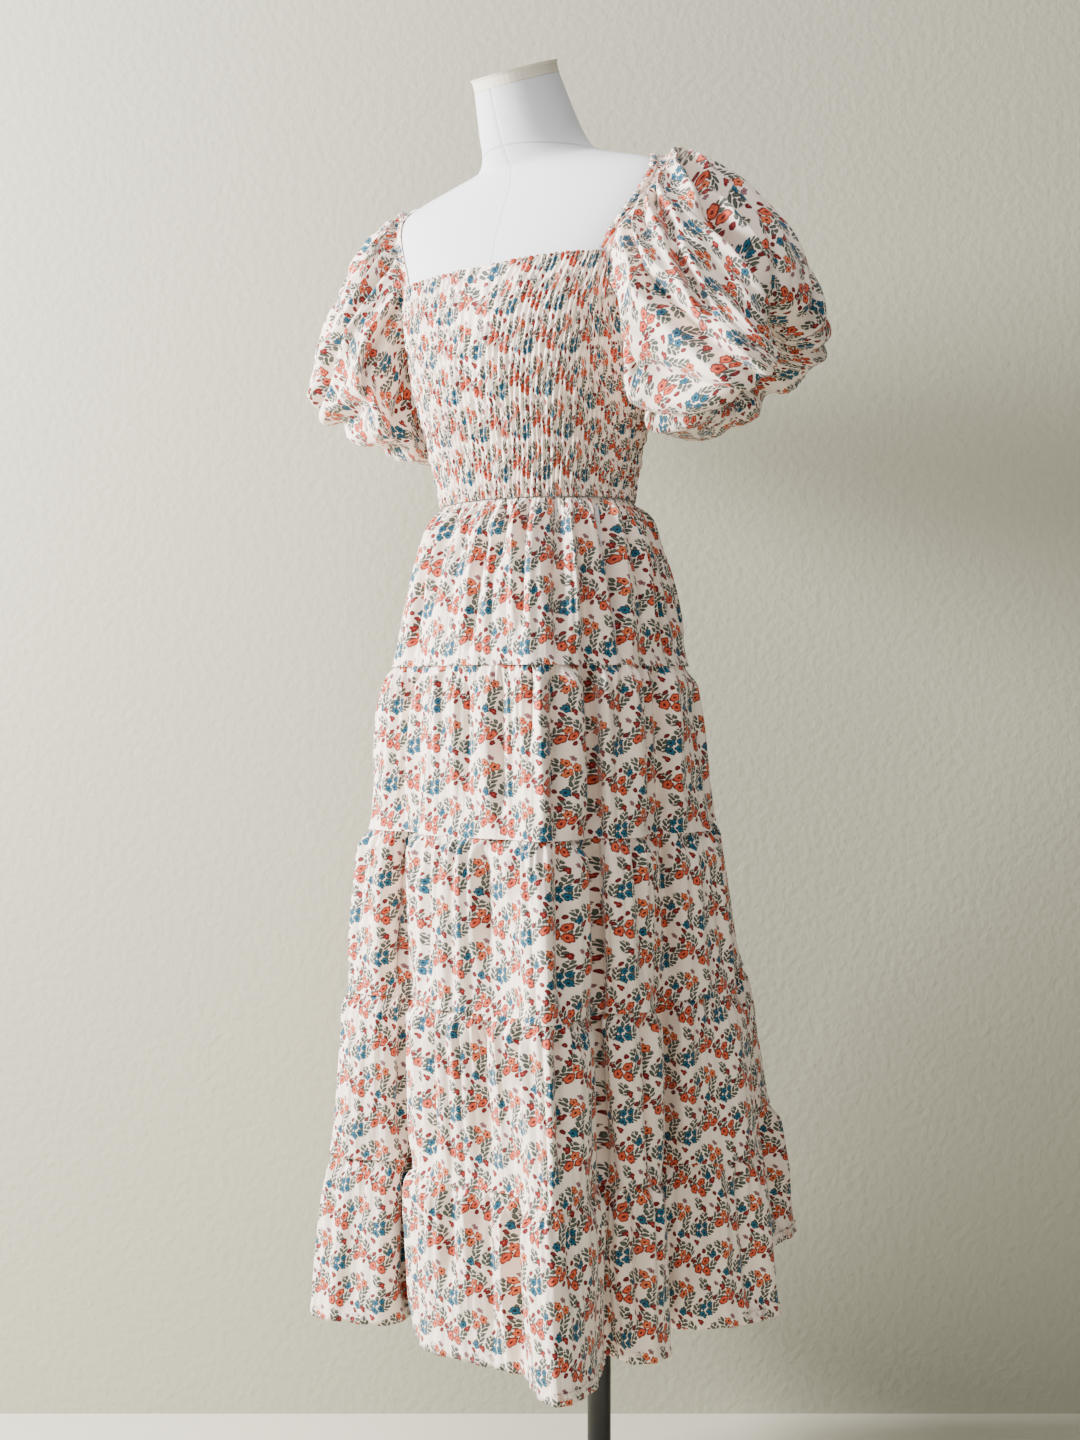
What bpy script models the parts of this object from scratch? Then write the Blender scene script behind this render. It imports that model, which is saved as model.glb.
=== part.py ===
# Peasant dress on a limbless dress form with its stand.
# Metres, +Z up. The garment's front looks towards -Y and its left side is +X.
# The origin is on the floor, under the middle of the stand's base plate.

import math
from typing import NamedTuple

import bmesh
import bpy
from mathutils import Vector

# Heights of the seams and edges above the floor
HEM_HEIGHT = 0.300
TIER_COUNT = 5
WAIST_HEIGHT = 1.243
NECKLINE_HEIGHT = 1.507
UNDERARM_HEIGHT = 1.412

# The dress form stands off the pole's axis by this much
FORM_OFFSET = Vector((-0.040, -0.070, 0.0))

OUTWARD = Vector((1.0, 0.0, 0.0))
UPWARD = Vector((0.0, 0.0, 1.0))

# Cloth
CLOTH_THICKNESS = 0.0020
SEAM_GAP = 0.0003
BODICE_CLEARANCE = 0.0013
SMOCKED_THICKNESS = 0.0016
SMOCKING_RIBS = 96
RIB_HEIGHT = 0.0020
BODICE_ROWS = 6
FORM_COLUMNS = 48
FORM_INSET = 0.0017
CORNER_COLUMN = 7
SIDE_COLUMN = 12

# Skirt
COLUMNS_PER_FOLD = 12
FOLD_GROWTH = 1.25
OUTLINE_SMOOTHING = 2
GATHER_DEPTH = 0.0032
GATHER_COLUMNS = 4
TIER_PUFF = 0.0045
PUFF_SHARE = 0.16
POCKET_TOP = 1.205
POCKET_BOTTOM = 1.075
POCKET_COLUMNS = 5
POCKET_THICKNESS = 0.0015

# Sleeves
CASING_WIDTH = 0.009
CASING_CLEARANCE = 0.0008
CASING_RIB = 0.0008
CORNER_STEP = 0.0028
CASING_STATIONS = 28
SHOULDER_COLUMNS = 28
UNDERARM_COLUMNS = 20
SHOULDER_HEIGHT = 1.616
SLEEVE_FOLDS = 12
SLEEVE_LIFT = 0.0027
SLEEVE_STEP = 0.0021
SLEEVE_STAND = 0.010
SLEEVE_TURN = 0.010
SLEEVE_FRONT_SLACK = 0.22
SLACK_TURN = math.radians(-60)
SLEEVE_FOLD_DEPTH = 0.0085
CUFF_WIDTH = 0.010

# Neck cap and stand
CAP_HEIGHT = 0.014
CAP_RIM = 0.0016
POLE_DIAMETER = 0.028
POLE_SIDES = 20
COLLAR_DIAMETER = 0.066
COLLAR_HEIGHT = 0.030
BASE_DIAMETER = 0.380
BASE_THICKNESS = 0.010
BASE_EDGE = 0.003
BASE_SIDES = 44


class BodySection(NamedTuple):
    height: float
    half_width: float
    front: float
    back: float
    shift: float
    square: float
    tilt: float


# Horizontal sections of the form, from its base to its neck
BODY = [
    BodySection(0.950, 0.138, 0.096, 0.108, 0.000, 2.2, 0.00),
    BodySection(1.000, 0.151, 0.103, 0.117, 0.000, 2.2, 0.00),
    BodySection(1.070, 0.154, 0.105, 0.117, 0.000, 2.2, 0.00),
    BodySection(1.160, 0.137, 0.096, 0.101, 0.000, 2.0, 0.00),
    BodySection(1.243, 0.121, 0.090, 0.088, 0.000, 2.0, 0.00),
    BodySection(1.287, 0.126, 0.096, 0.088, 0.000, 2.1, 0.00),
    BodySection(1.331, 0.135, 0.105, 0.091, 0.000, 2.2, 0.00),
    BodySection(1.375, 0.144, 0.114, 0.095, 0.000, 2.3, 0.00),
    BodySection(1.419, 0.153, 0.115, 0.100, 0.000, 2.4, 0.00),
    BodySection(1.463, 0.162, 0.104, 0.106, -0.003, 2.6, 0.00),
    BodySection(1.507, 0.172, 0.081, 0.112, -0.007, 2.8, 0.00),
    BodySection(1.545, 0.184, 0.066, 0.108, -0.011, 2.8, 0.00),
    BodySection(1.573, 0.194, 0.053, 0.098, -0.013, 2.6, 0.00),
    BodySection(1.595, 0.195, 0.043, 0.084, -0.015, 2.4, 0.02),
    BodySection(1.611, 0.186, 0.037, 0.070, -0.015, 2.2, 0.06),
    BodySection(1.623, 0.162, 0.037, 0.062, -0.013, 2.0, 0.12),
    BodySection(1.638, 0.116, 0.040, 0.058, -0.010, 2.0, 0.26),
    BodySection(1.651, 0.078, 0.044, 0.058, -0.006, 2.0, 0.38),
    BodySection(1.668, 0.064, 0.050, 0.056, -0.008, 2.0, 0.42),
    BodySection(1.697, 0.057, 0.052, 0.054, -0.019, 2.0, 0.42),
    BodySection(1.747, 0.049, 0.049, 0.049, -0.037, 2.0, 0.42),
]


class SkirtSection(NamedTuple):
    height: float
    half_width: float
    half_depth: float
    centre_y: float


# The skirt's mean ring, without its folds
SKIRT = [
    SkirtSection(0.300, 0.243, 0.243, 0.0270),
    SkirtSection(0.494, 0.227, 0.227, 0.0220),
    SkirtSection(0.681, 0.213, 0.211, 0.0165),
    SkirtSection(0.865, 0.195, 0.189, 0.0110),
    SkirtSection(1.047, 0.176, 0.163, 0.0060),
    SkirtSection(1.147, 0.157, 0.138, 0.0030),
    SkirtSection(1.205, 0.140, 0.114, 0.0005),
    SkirtSection(1.243, 0.1255, 0.0935, 0.0000),
]


class Fold(NamedTuple):
    share: float
    left_angle: float
    left_reach: float
    crest_angle: float
    crest_reach: float
    right_angle: float
    right_reach: float
    valley_angle: float
    valley_reach: float
    lift: float


# Long folds at the hem, going round from the front towards the garment's left.
# Angles are degrees from the front, reaches are metres from the skirt's middle,
# share is the part of the waist, in degrees, that falls into the fold, and lift is
# how far the fold's swing raises its hem.
FOLDS = [
    Fold(42, -8, 0.207, 6, 0.204, 22, 0.213, 31, 0.222, 0.000),
    Fold(30, 36, 0.288, 40, 0.303, 49, 0.262, 59, 0.166, 0.000),
    Fold(30, 60, 0.214, 68, 0.224, 77, 0.212, 92, 0.138, 0.003),
    Fold(44, 97, 0.196, 112, 0.262, 126, 0.272, 138, 0.200, 0.004),
    Fold(36, 144, 0.286, 153, 0.356, 166, 0.298, 177, 0.185, 0.040),
    Fold(34, 184, 0.245, 195, 0.268, 206, 0.245, 213, 0.178, 0.008),
    Fold(36, 220, 0.262, 230, 0.300, 241, 0.268, 249, 0.172, 0.012),
    Fold(34, 256, 0.248, 267, 0.276, 279, 0.252, 286, 0.186, 0.006),
    Fold(34, 291, 0.240, 298, 0.262, 304, 0.240, 308, 0.196, 0.004),
    Fold(40, 312, 0.262, 318, 0.288, 333, 0.194, 316, 0.158, 0.000),
]
FIRST_FOLD_START = -20.0


class SleeveSection(NamedTuple):
    centre_x: float
    centre_y: float
    centre_z: float
    tilt: float
    up: float
    down: float
    forward: float
    backward: float
    fold: float


# Sections of the left sleeve from the shoulder to the cuff, square to its own line.
# fold scales the depth of the sleeve's folds there.
SLEEVE = [
    SleeveSection(0.200, 0.004, 1.488, 8, 0.134, 0.136, 0.116, 0.112, 0.4),
    SleeveSection(0.222, 0.014, 1.464, 18, 0.126, 0.155, 0.134, 0.134, 1.1),
    SleeveSection(0.258, 0.022, 1.436, 31, 0.098, 0.148, 0.130, 0.140, 1.1),
    SleeveSection(0.284, 0.018, 1.402, 42, 0.068, 0.110, 0.112, 0.120, 0.8),
    SleeveSection(0.268, 0.018, 1.398, 46, 0.044, 0.070, 0.072, 0.078, 0.4),
    SleeveSection(0.248, 0.018, 1.416, 46, 0.040, 0.046, 0.048, 0.050, 0.0),
]


def clear_scene():
    for old in list(bpy.data.objects):
        bpy.data.objects.remove(old, do_unlink=True)


def make_material(name, colour, roughness, metallic=0.0):
    material = bpy.data.materials.new(name)
    material.use_nodes = True
    shader = material.node_tree.nodes["Principled BSDF"]
    shader.inputs["Base Color"].default_value = (*colour, 1.0)
    shader.inputs["Roughness"].default_value = roughness
    shader.inputs["Metallic"].default_value = metallic
    material.diffuse_color = (*colour, 1.0)
    return material


def finish_object(bm, name, material, parent, smooth_angle=50.0):
    mesh = bpy.data.meshes.new(name)
    bm.to_mesh(mesh)
    bm.free()
    mesh.shade_smooth()
    mesh.set_sharp_from_angle(angle=math.radians(smooth_angle))
    mesh.materials.append(material)
    thing = bpy.data.objects.new(name, mesh)
    thing.parent = parent
    bpy.context.scene.collection.objects.link(thing)
    return thing


def smooth_value(rows, column, height):
    """Value of a table's column at a height, on a smooth curve through its rows."""
    last = len(rows) - 1
    span = 0
    while span < last - 1 and height > rows[span + 1].height:
        span += 1
    below, above = rows[span], rows[span + 1]
    length = above.height - below.height
    part = min(max((height - below.height) / length, 0.0), 1.0)

    def slope(index):
        first = rows[max(index - 1, 0)]
        second = rows[min(index + 1, last)]
        rise = getattr(second, column) - getattr(first, column)
        return rise / (second.height - first.height)

    start, end = getattr(below, column), getattr(above, column)
    cube, square = part**3, part**2
    return (
        (2 * cube - 3 * square + 1) * start
        + (cube - 2 * square + part) * length * slope(span)
        + (3 * square - 2 * cube) * end
        + (cube - square) * length * slope(span + 1)
    )


def signed_power(value, power):
    return math.copysign(abs(value) ** power, value)


def form_point(turn, height):
    """A point of the form's surface. turn is in radians from the front to the left."""
    section = BodySection(height, *(smooth_value(BODY, name, height) for name in BodySection._fields[1:]))
    power = 2.0 / section.square
    along = signed_power(math.cos(turn), power)
    depth = section.front if along > 0 else section.back
    x = section.half_width * signed_power(math.sin(turn), power)
    y = section.shift - depth * along
    return Vector((x, y, height + section.tilt * y))


def form_normal(turn, height):
    step = 0.002
    around = form_point(turn + 10 * step, height) - form_point(turn - 10 * step, height)
    up = form_point(turn, height + step) - form_point(turn, height - step)
    return around.cross(up).normalized()


def cloth_wall(outer, inner, closed):
    """One solid from rows of outer and inner points, given bottom row first.

    The inner rows may have fewer columns than the outer ones by a whole factor.
    """
    bm = bmesh.new()
    faces_out = [[bm.verts.new(point) for point in row] for row in outer]
    faces_in = [[bm.verts.new(point) for point in row] for row in inner]

    def skin(rows, flip):
        columns = len(rows[0])
        for low, high in zip(rows, rows[1:]):
            for k in range(columns if closed else columns - 1):
                after = (k + 1) % columns
                face = [low[k], low[after], high[after], high[k]]
                bm.faces.new(face[::-1] if flip else face)

    skin(faces_out, False)
    skin(faces_in, True)
    count_in = len(faces_in[0])
    spans = count_in if closed else count_in - 1
    count_out = len(faces_out[0])
    ratio = (count_out if closed else count_out - 1) // spans
    for row, flip in ((0, False), (-1, True)):
        for k in range(spans):
            arc = [faces_out[row][(k * ratio + j) % count_out] for j in range(ratio + 1)]
            face = [faces_in[row][k], faces_in[row][(k + 1) % count_in], *arc[::-1]]
            bm.faces.new(face[::-1] if flip else face)
    if not closed:
        for k, flip in ((0, False), (-1, True)):
            for low_out, high_out, low_in, high_in in zip(faces_out, faces_out[1:], faces_in, faces_in[1:]):
                face = [low_in[k], low_out[k], high_out[k], high_in[k]]
                bm.faces.new(face[::-1] if flip else face)
    bm.normal_update()
    return bm


def turn_ring(radius, sides, height, centre=(0.0, 0.0)):
    angles = [2 * math.pi * k / sides for k in range(sides)]
    return [
        Vector((centre[0] + radius * math.cos(a), centre[1] + radius * math.sin(a), height))
        for a in angles
    ]


def closed_stack(rings):
    """One solid from rings of points, bottom ring first, with flat ends."""
    bm = bmesh.new()
    rows = [[bm.verts.new(point) for point in ring] for ring in rings]
    count = len(rows[0])
    for low, high in zip(rows, rows[1:]):
        for k in range(count):
            after = (k + 1) % count
            bm.faces.new([low[k], low[after], high[after], high[k]])
    bm.faces.new(rows[0][::-1])
    bm.faces.new(rows[-1])
    bm.normal_update()
    return bm


# Bodice


def bodice_top(turn):
    """Height of the bodice's upper edge: level between its corners, lower under the arm."""
    from_side = math.degrees(math.acos(min(abs(math.sin(turn)), 1.0)))
    reach = (SIDE_COLUMN - CORNER_COLUMN) * 360.0 / FORM_COLUMNS
    part = min(from_side / reach, 1.0)
    return UNDERARM_HEIGHT + (NECKLINE_HEIGHT - UNDERARM_HEIGHT) * part**2


def bodice_row(first_turn, last_turn, spans, share, lift):
    row = []
    for k in range(spans + 1):
        turn = first_turn + (last_turn - first_turn) * k / spans
        low = WAIST_HEIGHT + SEAM_GAP / 2
        height = low + (bodice_top(turn) - low) * share
        rise = lift(k)
        row.append(form_point(turn, height) + form_normal(turn, height) * rise)
    return row


def make_bodice_panel(name, middle_turn, material, parent):
    """Front or back panel: smocking ribs outside, plain inside."""
    seam_turn = math.asin(SEAM_GAP / 2 / BODY[4].half_width)
    first_turn = middle_turn - math.pi / 2 + seam_turn
    last_turn = middle_turn + math.pi / 2 - seam_turn
    inner_spans = FORM_COLUMNS // 2
    outer_spans = SMOCKING_RIBS

    def rib(k):
        return BODICE_CLEARANCE + SMOCKED_THICKNESS + RIB_HEIGHT * (k % 2)

    shares = [row / BODICE_ROWS for row in range(BODICE_ROWS + 1)]
    outer = [bodice_row(first_turn, last_turn, outer_spans, share, rib) for share in shares]
    inner = [
        bodice_row(first_turn, last_turn, inner_spans, share, lambda k: BODICE_CLEARANCE)
        for share in shares
    ]
    return finish_object(cloth_wall(outer, inner, closed=False), name, material, parent)


# Skirt


def hem_knots():
    """The hem's outline, four knots for each fold: the turn at the waist, and the place."""
    knots = []
    share = FIRST_FOLD_START
    for fold in FOLDS:
        places = [
            (fold.left_angle, fold.left_reach),
            (fold.crest_angle, fold.crest_reach),
            (fold.right_angle, fold.right_reach),
            (fold.valley_angle, fold.valley_reach),
        ]
        for k, (angle, reach) in enumerate(places):
            turn = math.radians(angle)
            waist_turn = math.radians(share + fold.share * (k + 1) / 4)
            lift = fold.lift * (1.0, 1.0, 1.0, 0.5)[k]
            outward = Vector((math.sin(turn), -math.cos(turn), 0.0))
            knots.append((waist_turn, outward * reach + Vector((0.0, 0.0, lift))))
        share += fold.share
    return knots


def spline(before, start, end, after, part):
    return 0.5 * (
        2 * start
        + (end - before) * part
        + (2 * before - 5 * start + 4 * end - after) * part**2
        + (3 * start - before - 3 * end + after) * part**3
    )


def skirt_columns():
    """For each column round the skirt: its turn at the waist, and its fold's shift at the hem."""
    knots = hem_knots()
    steps = COLUMNS_PER_FOLD // 4
    turns = []
    outline = []
    for k in range(len(knots)):
        waist_turn, place = knots[k]
        next_turn, next_place = knots[(k + 1) % len(knots)]
        if next_turn < waist_turn:
            next_turn += 2 * math.pi
        before = knots[k - 1][1]
        after = knots[(k + 2) % len(knots)][1]
        for j in range(steps):
            part = j / steps
            turn = waist_turn + (next_turn - waist_turn) * part
            turns.append(turn)
            outline.append(spline(before, place, next_place, after, part))
    for _ in range(OUTLINE_SMOOTHING):
        outline = [
            outline[k - 1] * 0.25 + outline[k] * 0.5 + outline[(k + 1) % len(outline)] * 0.25
            for k in range(len(outline))
        ]
    hem = SKIRT[0]
    rings = [Vector((hem.half_width * math.sin(t), -hem.half_depth * math.cos(t), 0.0)) for t in turns]
    return [(turn, place - ring) for turn, place, ring in zip(turns, outline, rings)]


def fold_growth(height):
    """How far the long folds have opened: nothing at the waist, all at the hem."""
    fall = (WAIST_HEIGHT - height) / (WAIST_HEIGHT - HEM_HEIGHT)
    return max(fall, 0.0) ** FOLD_GROWTH


def skirt_ring(columns, height):
    half_width = smooth_value(SKIRT, "half_width", height)
    half_depth = smooth_value(SKIRT, "half_depth", height)
    centre_y = smooth_value(SKIRT, "centre_y", height)
    growth = fold_growth(height)
    ring = []
    for turn, shift in columns:
        base = Vector((half_width * math.sin(turn), centre_y - half_depth * math.cos(turn), height))
        ring.append(base + Vector((shift.x, shift.y, shift.z * growth)) * growth)
    return ring


def ring_normals(ring):
    """Level directions pointing out of a closed ring that runs anticlockwise."""
    count = len(ring)
    normals = []
    for k in range(count):
        before = (ring[k] - ring[k - 1]).normalized()
        after = (ring[(k + 1) % count] - ring[k]).normalized()
        along = before + after
        normals.append(Vector((along.y, -along.x, 0.0)).normalized())
    return normals


def evenness(ring, k):
    """1 where a ring runs straight on, falling to 0 where it turns sharply."""
    before = (ring[k] - ring[k - 1]).normalized()
    after = (ring[(k + 1) % len(ring)] - ring[k]).normalized()
    return max(before.dot(after), 0.0) ** 3


def tier_rows(columns, tier):
    """Outer and inner rows of one tier, bottom first, with gathers under its upper seam."""
    drop = (WAIST_HEIGHT - HEM_HEIGHT) / TIER_COUNT
    top = WAIST_HEIGHT - drop * tier
    bottom = top - drop
    gap = SEAM_GAP / 2
    low = bottom if tier == TIER_COUNT - 1 else bottom + gap
    levels = [
        (low, 0.0, 0.0),
        (top - drop * PUFF_SHARE, 1.0, 1.0),
        (top - gap, 0.0, 0.5),
    ]
    outer = []
    inner = []
    for height, puff, gather in levels:
        ring = skirt_ring(columns, height)
        normals = ring_normals(ring)
        places = []
        for k, (point, normal) in enumerate(zip(ring, normals)):
            turn = columns[k][0]
            outward = Vector((math.sin(turn), -math.cos(turn), 0.0))
            wave = math.cos(2 * math.pi * (k + tier) / GATHER_COLUMNS)
            uneven = 0.72 + 0.28 * math.sin(1.7 * k + 2.3 * tier)
            depth = GATHER_DEPTH * gather * wave * uneven * evenness(ring, k)
            places.append(point + outward * TIER_PUFF * puff + normal * depth)
        outer.append(places)
        inner.append([place - normal * CLOTH_THICKNESS for place, normal in zip(places, normals)])
    return outer, inner


def open_rows(rows, first, last):
    """Columns first to last of closed rows, pulled back from both ends by half a seam gap."""
    cut = []
    for row in rows:
        count = len(row)
        part = [row[k % count].copy() for k in range(first, last + 1)]
        part[0] += (part[1] - part[0]).normalized() * (SEAM_GAP / 2)
        part[-1] += (part[-2] - part[-1]).normalized() * (SEAM_GAP / 2)
        cut.append(part)
    return cut


def column_at(columns, degrees):
    wanted = math.radians(degrees)
    return min(range(len(columns)), key=lambda k: abs(columns[k][0] - wanted))


def make_skirt(material, parent):
    columns = skirt_columns()
    count = len(columns)
    left = column_at(columns, 90.0)
    right = column_at(columns, 270.0)
    outer, inner = tier_rows(columns, 0)
    for name, first, last in (
        ("skirt_tier_1_back", left, right),
        ("skirt_tier_1_front", right, left + count),
    ):
        walls = open_rows(outer, first, last), open_rows(inner, first, last)
        finish_object(cloth_wall(*walls, closed=False), name, material, parent)
    for tier in range(1, TIER_COUNT):
        rows = tier_rows(columns, tier)
        finish_object(cloth_wall(*rows, closed=True), f"skirt_tier_{tier + 1}", material, parent)
    make_pocket(inner, left, material, parent)


def make_pocket(inner, seam, material, parent):
    """Facing behind the pocket mouth in the left side seam, made from tier 1's inner points."""
    count = len(inner[0])
    low, high = inner[0], inner[1]
    middle = POCKET_COLUMNS // 2

    def row(height, depth):
        part = (height - low[0].z) / (high[0].z - low[0].z)
        ring = [a.lerp(b, part) for a, b in zip(low, high)]
        normals = ring_normals(ring)
        picked = [(seam - middle + k) % count for k in range(POCKET_COLUMNS)]
        return [ring[k] - normals[k] * depth for k in picked]

    near = SEAM_GAP * 3
    heights = (POCKET_BOTTOM, POCKET_TOP)
    outer = [row(height, near) for height in heights]
    back = [row(height, near + POCKET_THICKNESS) for height in heights]
    finish_object(cloth_wall(outer, back, closed=False), "pocket_left", material, parent)


# Sleeves


class EdgePoint(NamedTuple):
    place: Vector
    normal: Vector
    away: Vector


def shoulder_edge(part):
    """Neckline side of the sleeve: from the front corner (0) over the shoulder to the back (1)."""
    corner = math.radians(CORNER_COLUMN * 360.0 / FORM_COLUMNS)
    turn = corner + (math.pi - 2 * corner) * part
    rise = math.sin(math.pi * part) ** 0.8
    start = NECKLINE_HEIGHT + CORNER_STEP
    height = start + (SHOULDER_HEIGHT - start) * rise
    return form_point(turn, height), form_normal(turn, height)


def underarm_edge(part):
    """Armhole side of the sleeve: from the back corner (0) under the arm to the front (1)."""
    corner = math.radians(CORNER_COLUMN * 360.0 / FORM_COLUMNS)
    turn = math.pi - corner - (math.pi - 2 * corner) * part
    height = bodice_top(turn)
    return form_point(turn, height), form_normal(turn, height)


def edge_points(curve, stations, main_way, corner_way):
    """Points of a sleeve edge with the form's normal and the way the cloth leaves the seam.

    The cloth leaves along main_way, laid flat on the form, and along corner_way too near the corners.
    """
    found = []
    for part in stations:
        place, normal = curve(part)
        way = main_way + corner_way * abs(2.0 * part - 1.0) ** 3
        away = (way - normal * way.dot(normal)).normalized()
        found.append(EdgePoint(place, normal, away))
    return found


def casing_rows():
    """Narrow gathered casing along the neckline side of the left sleeve."""
    stations = [k / CASING_STATIONS for k in range(CASING_STATIONS + 1)]
    edge = edge_points(shoulder_edge, stations, OUTWARD, Vector())
    outer = []
    inner = []
    for across in (0.0, -CASING_WIDTH):
        outer.append([])
        inner.append([])
        for k, point in enumerate(edge):
            base = point.place + point.away * across + point.normal * CASING_CLEARANCE
            inner[-1].append(base)
            outer[-1].append(base + point.normal * (CLOTH_THICKNESS + CASING_RIB * (k % 2)))
    return outer, inner


def sleeve_edge():
    """Closed loop where the left sleeve starts: over the shoulder, then back under the arm."""
    over = [k / SHOULDER_COLUMNS for k in range(SHOULDER_COLUMNS)]
    under = [k / UNDERARM_COLUMNS for k in range(UNDERARM_COLUMNS)]
    return edge_points(shoulder_edge, over, OUTWARD, UPWARD) + edge_points(
        underarm_edge, under, UPWARD, OUTWARD
    )


def sleeve_turns():
    """Each column's angle round the sleeve: 0 on top, growing towards the back."""
    over = [math.radians(-95 + 190 * k / SHOULDER_COLUMNS) for k in range(SHOULDER_COLUMNS)]
    under = [math.radians(95 + 170 * k / UNDERARM_COLUMNS) for k in range(UNDERARM_COLUMNS)]
    return over + under


def balloon_point(section, turn, fold_depth):
    tilt = math.radians(section.tilt)
    up = Vector((math.sin(tilt), 0.0, math.cos(tilt)))
    rise = section.up if math.cos(turn) > 0 else section.down
    side = section.backward if math.sin(turn) > 0 else section.forward
    upper_front = max(math.cos(turn - SLACK_TURN), 0.0) ** 2
    reach = 1.0 + fold_depth * section.fold / side - SLEEVE_FRONT_SLACK * upper_front
    centre = Vector((section.centre_x, section.centre_y, section.centre_z))
    return centre + (up * math.cos(turn) * rise + Vector((0.0, math.sin(turn) * side, 0.0))) * reach


def sleeve_folds(k):
    """Height of the sleeve's folds at a column, uneven from one to the next."""
    count = SHOULDER_COLUMNS + UNDERARM_COLUMNS
    wave = math.cos(2 * math.pi * SLEEVE_FOLDS * k / count)
    return SLEEVE_FOLD_DEPTH * wave * (0.75 + 0.25 * math.sin(2.1 * k))


def surface_normals(rows):
    """Normals of a grid whose rows close round, by central differences."""
    count = len(rows[0])
    normals = []
    for r in range(len(rows)):
        before = rows[max(r - 1, 0)]
        after = rows[min(r + 1, len(rows) - 1)]
        normals.append([])
        for k in range(count):
            around = rows[r][(k + 1) % count] - rows[r][k - 1]
            along = after[k] - before[k]
            normals[-1].append(along.cross(around).normalized())
    return normals


def sleeve_rows():
    """Outer and inner rows of the left sleeve, from the shoulder seam to the cuff."""
    edge = sleeve_edge()
    turns = sleeve_turns()
    seam = [e.place + e.away * SLEEVE_STEP + e.normal * SLEEVE_LIFT for e in edge]
    stand = [p + e.away * SLEEVE_STAND + e.normal * SLEEVE_LIFT for p, e in zip(seam, edge)]
    shoulder = []
    for k, (point, start) in enumerate(zip(edge, stand)):
        balloon = balloon_point(SLEEVE[0], turns[k], sleeve_folds(k))
        over = 0.15 + 0.15 * math.cos(turns[k])
        shoulder.append((start + point.normal * SLEEVE_TURN).lerp(balloon, over))
    rows = [seam, stand, shoulder]
    for section in SLEEVE:
        rows.append([balloon_point(section, turn, sleeve_folds(k)) for k, turn in enumerate(turns)])
    normals = surface_normals(rows)
    normals[0] = [e.normal for e in edge]
    half = CLOTH_THICKNESS / 2
    outer = [[p + n * half for p, n in zip(*pair)] for pair in zip(rows, normals)]
    inner = [[p - n * half for p, n in zip(*pair)] for pair in zip(rows, normals)]
    return outer, inner


def cuff_rows():
    """Elastic casing inside the left sleeve's lower edge."""
    section = SLEEVE[-1]
    tilt = math.radians(section.tilt)
    out = Vector((math.cos(tilt), 0.0, -math.sin(tilt)))
    turns = sleeve_turns()[::2]
    loop = [balloon_point(section, turn, 0.0) for turn in turns]
    centre = sum(loop, Vector()) / len(loop)
    outer = []
    inner = []
    for along in (0.0, CUFF_WIDTH):
        start = out * -(CLOTH_THICKNESS / 2 + SEAM_GAP * 2 + along)
        spokes = [(p - centre).normalized() for p in loop]
        ribs = [CASING_RIB * (k % 2) for k in range(len(loop))]
        outer.append([p + start + s * (CLOTH_THICKNESS / 2 + r) for p, s, r in zip(loop, spokes, ribs)])
        inner.append([p + start - s * (CLOTH_THICKNESS / 2) for p, s in zip(loop, spokes)])
    return outer, inner


def on_side(rows, side):
    """Rows for the left (1) or right (-1) side; the right one is its mirror image."""
    if side > 0:
        return rows
    return [[Vector((-p.x, p.y, p.z)) for p in row[::-1]] for row in rows]


def make_sleeves(material, parent):
    pieces = (
        ("sleeve", sleeve_rows(), True),
        ("neck_casing", casing_rows(), False),
        ("cuff", cuff_rows(), True),
    )
    for side_name, side in (("left", 1), ("right", -1)):
        for name, (outer, inner), closed in pieces:
            walls = on_side(outer, side), on_side(inner, side)
            bm = cloth_wall(*walls, closed=closed)
            bmesh.ops.recalc_face_normals(bm, faces=bm.faces)
            finish_object(bm, f"{name}_{side_name}", material, parent)


# Dress form and stand


def make_form(cover, trim, parent):
    """The torso. It is a little slimmer where the elasticated bodice presses on it."""
    turns = [2 * math.pi * k / FORM_COLUMNS for k in range(FORM_COLUMNS)]
    rings = []
    for section in BODY:
        height = section.height
        pressed = WAIST_HEIGHT < height < NECKLINE_HEIGHT
        depth = FORM_INSET if pressed else 0.0
        rings.append([form_point(t, height) - form_normal(t, height) * depth for t in turns])
    finish_object(closed_stack(rings), "form_torso", cover, parent)
    make_neck_cap(turns, trim, parent)


def make_neck_cap(turns, trim, parent):
    """Tilted disc on the neck, with a thin rim round its top."""
    top = BODY[-1]
    slope = Vector((0.0, -top.tilt, 1.0)).normalized()
    base = [form_point(turn, top.height) for turn in turns]
    centre = sum(base, Vector()) / len(base)
    rings = []
    for rise, spread in (
        (SEAM_GAP, 0.0),
        (CAP_HEIGHT - CAP_RIM * 2, 0.0),
        (CAP_HEIGHT, CAP_RIM),
    ):
        rings.append([p + (p - centre).normalized() * spread + slope * rise for p in base])
    finish_object(closed_stack(rings), "neck_cap", trim, parent, 30.0)


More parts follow.
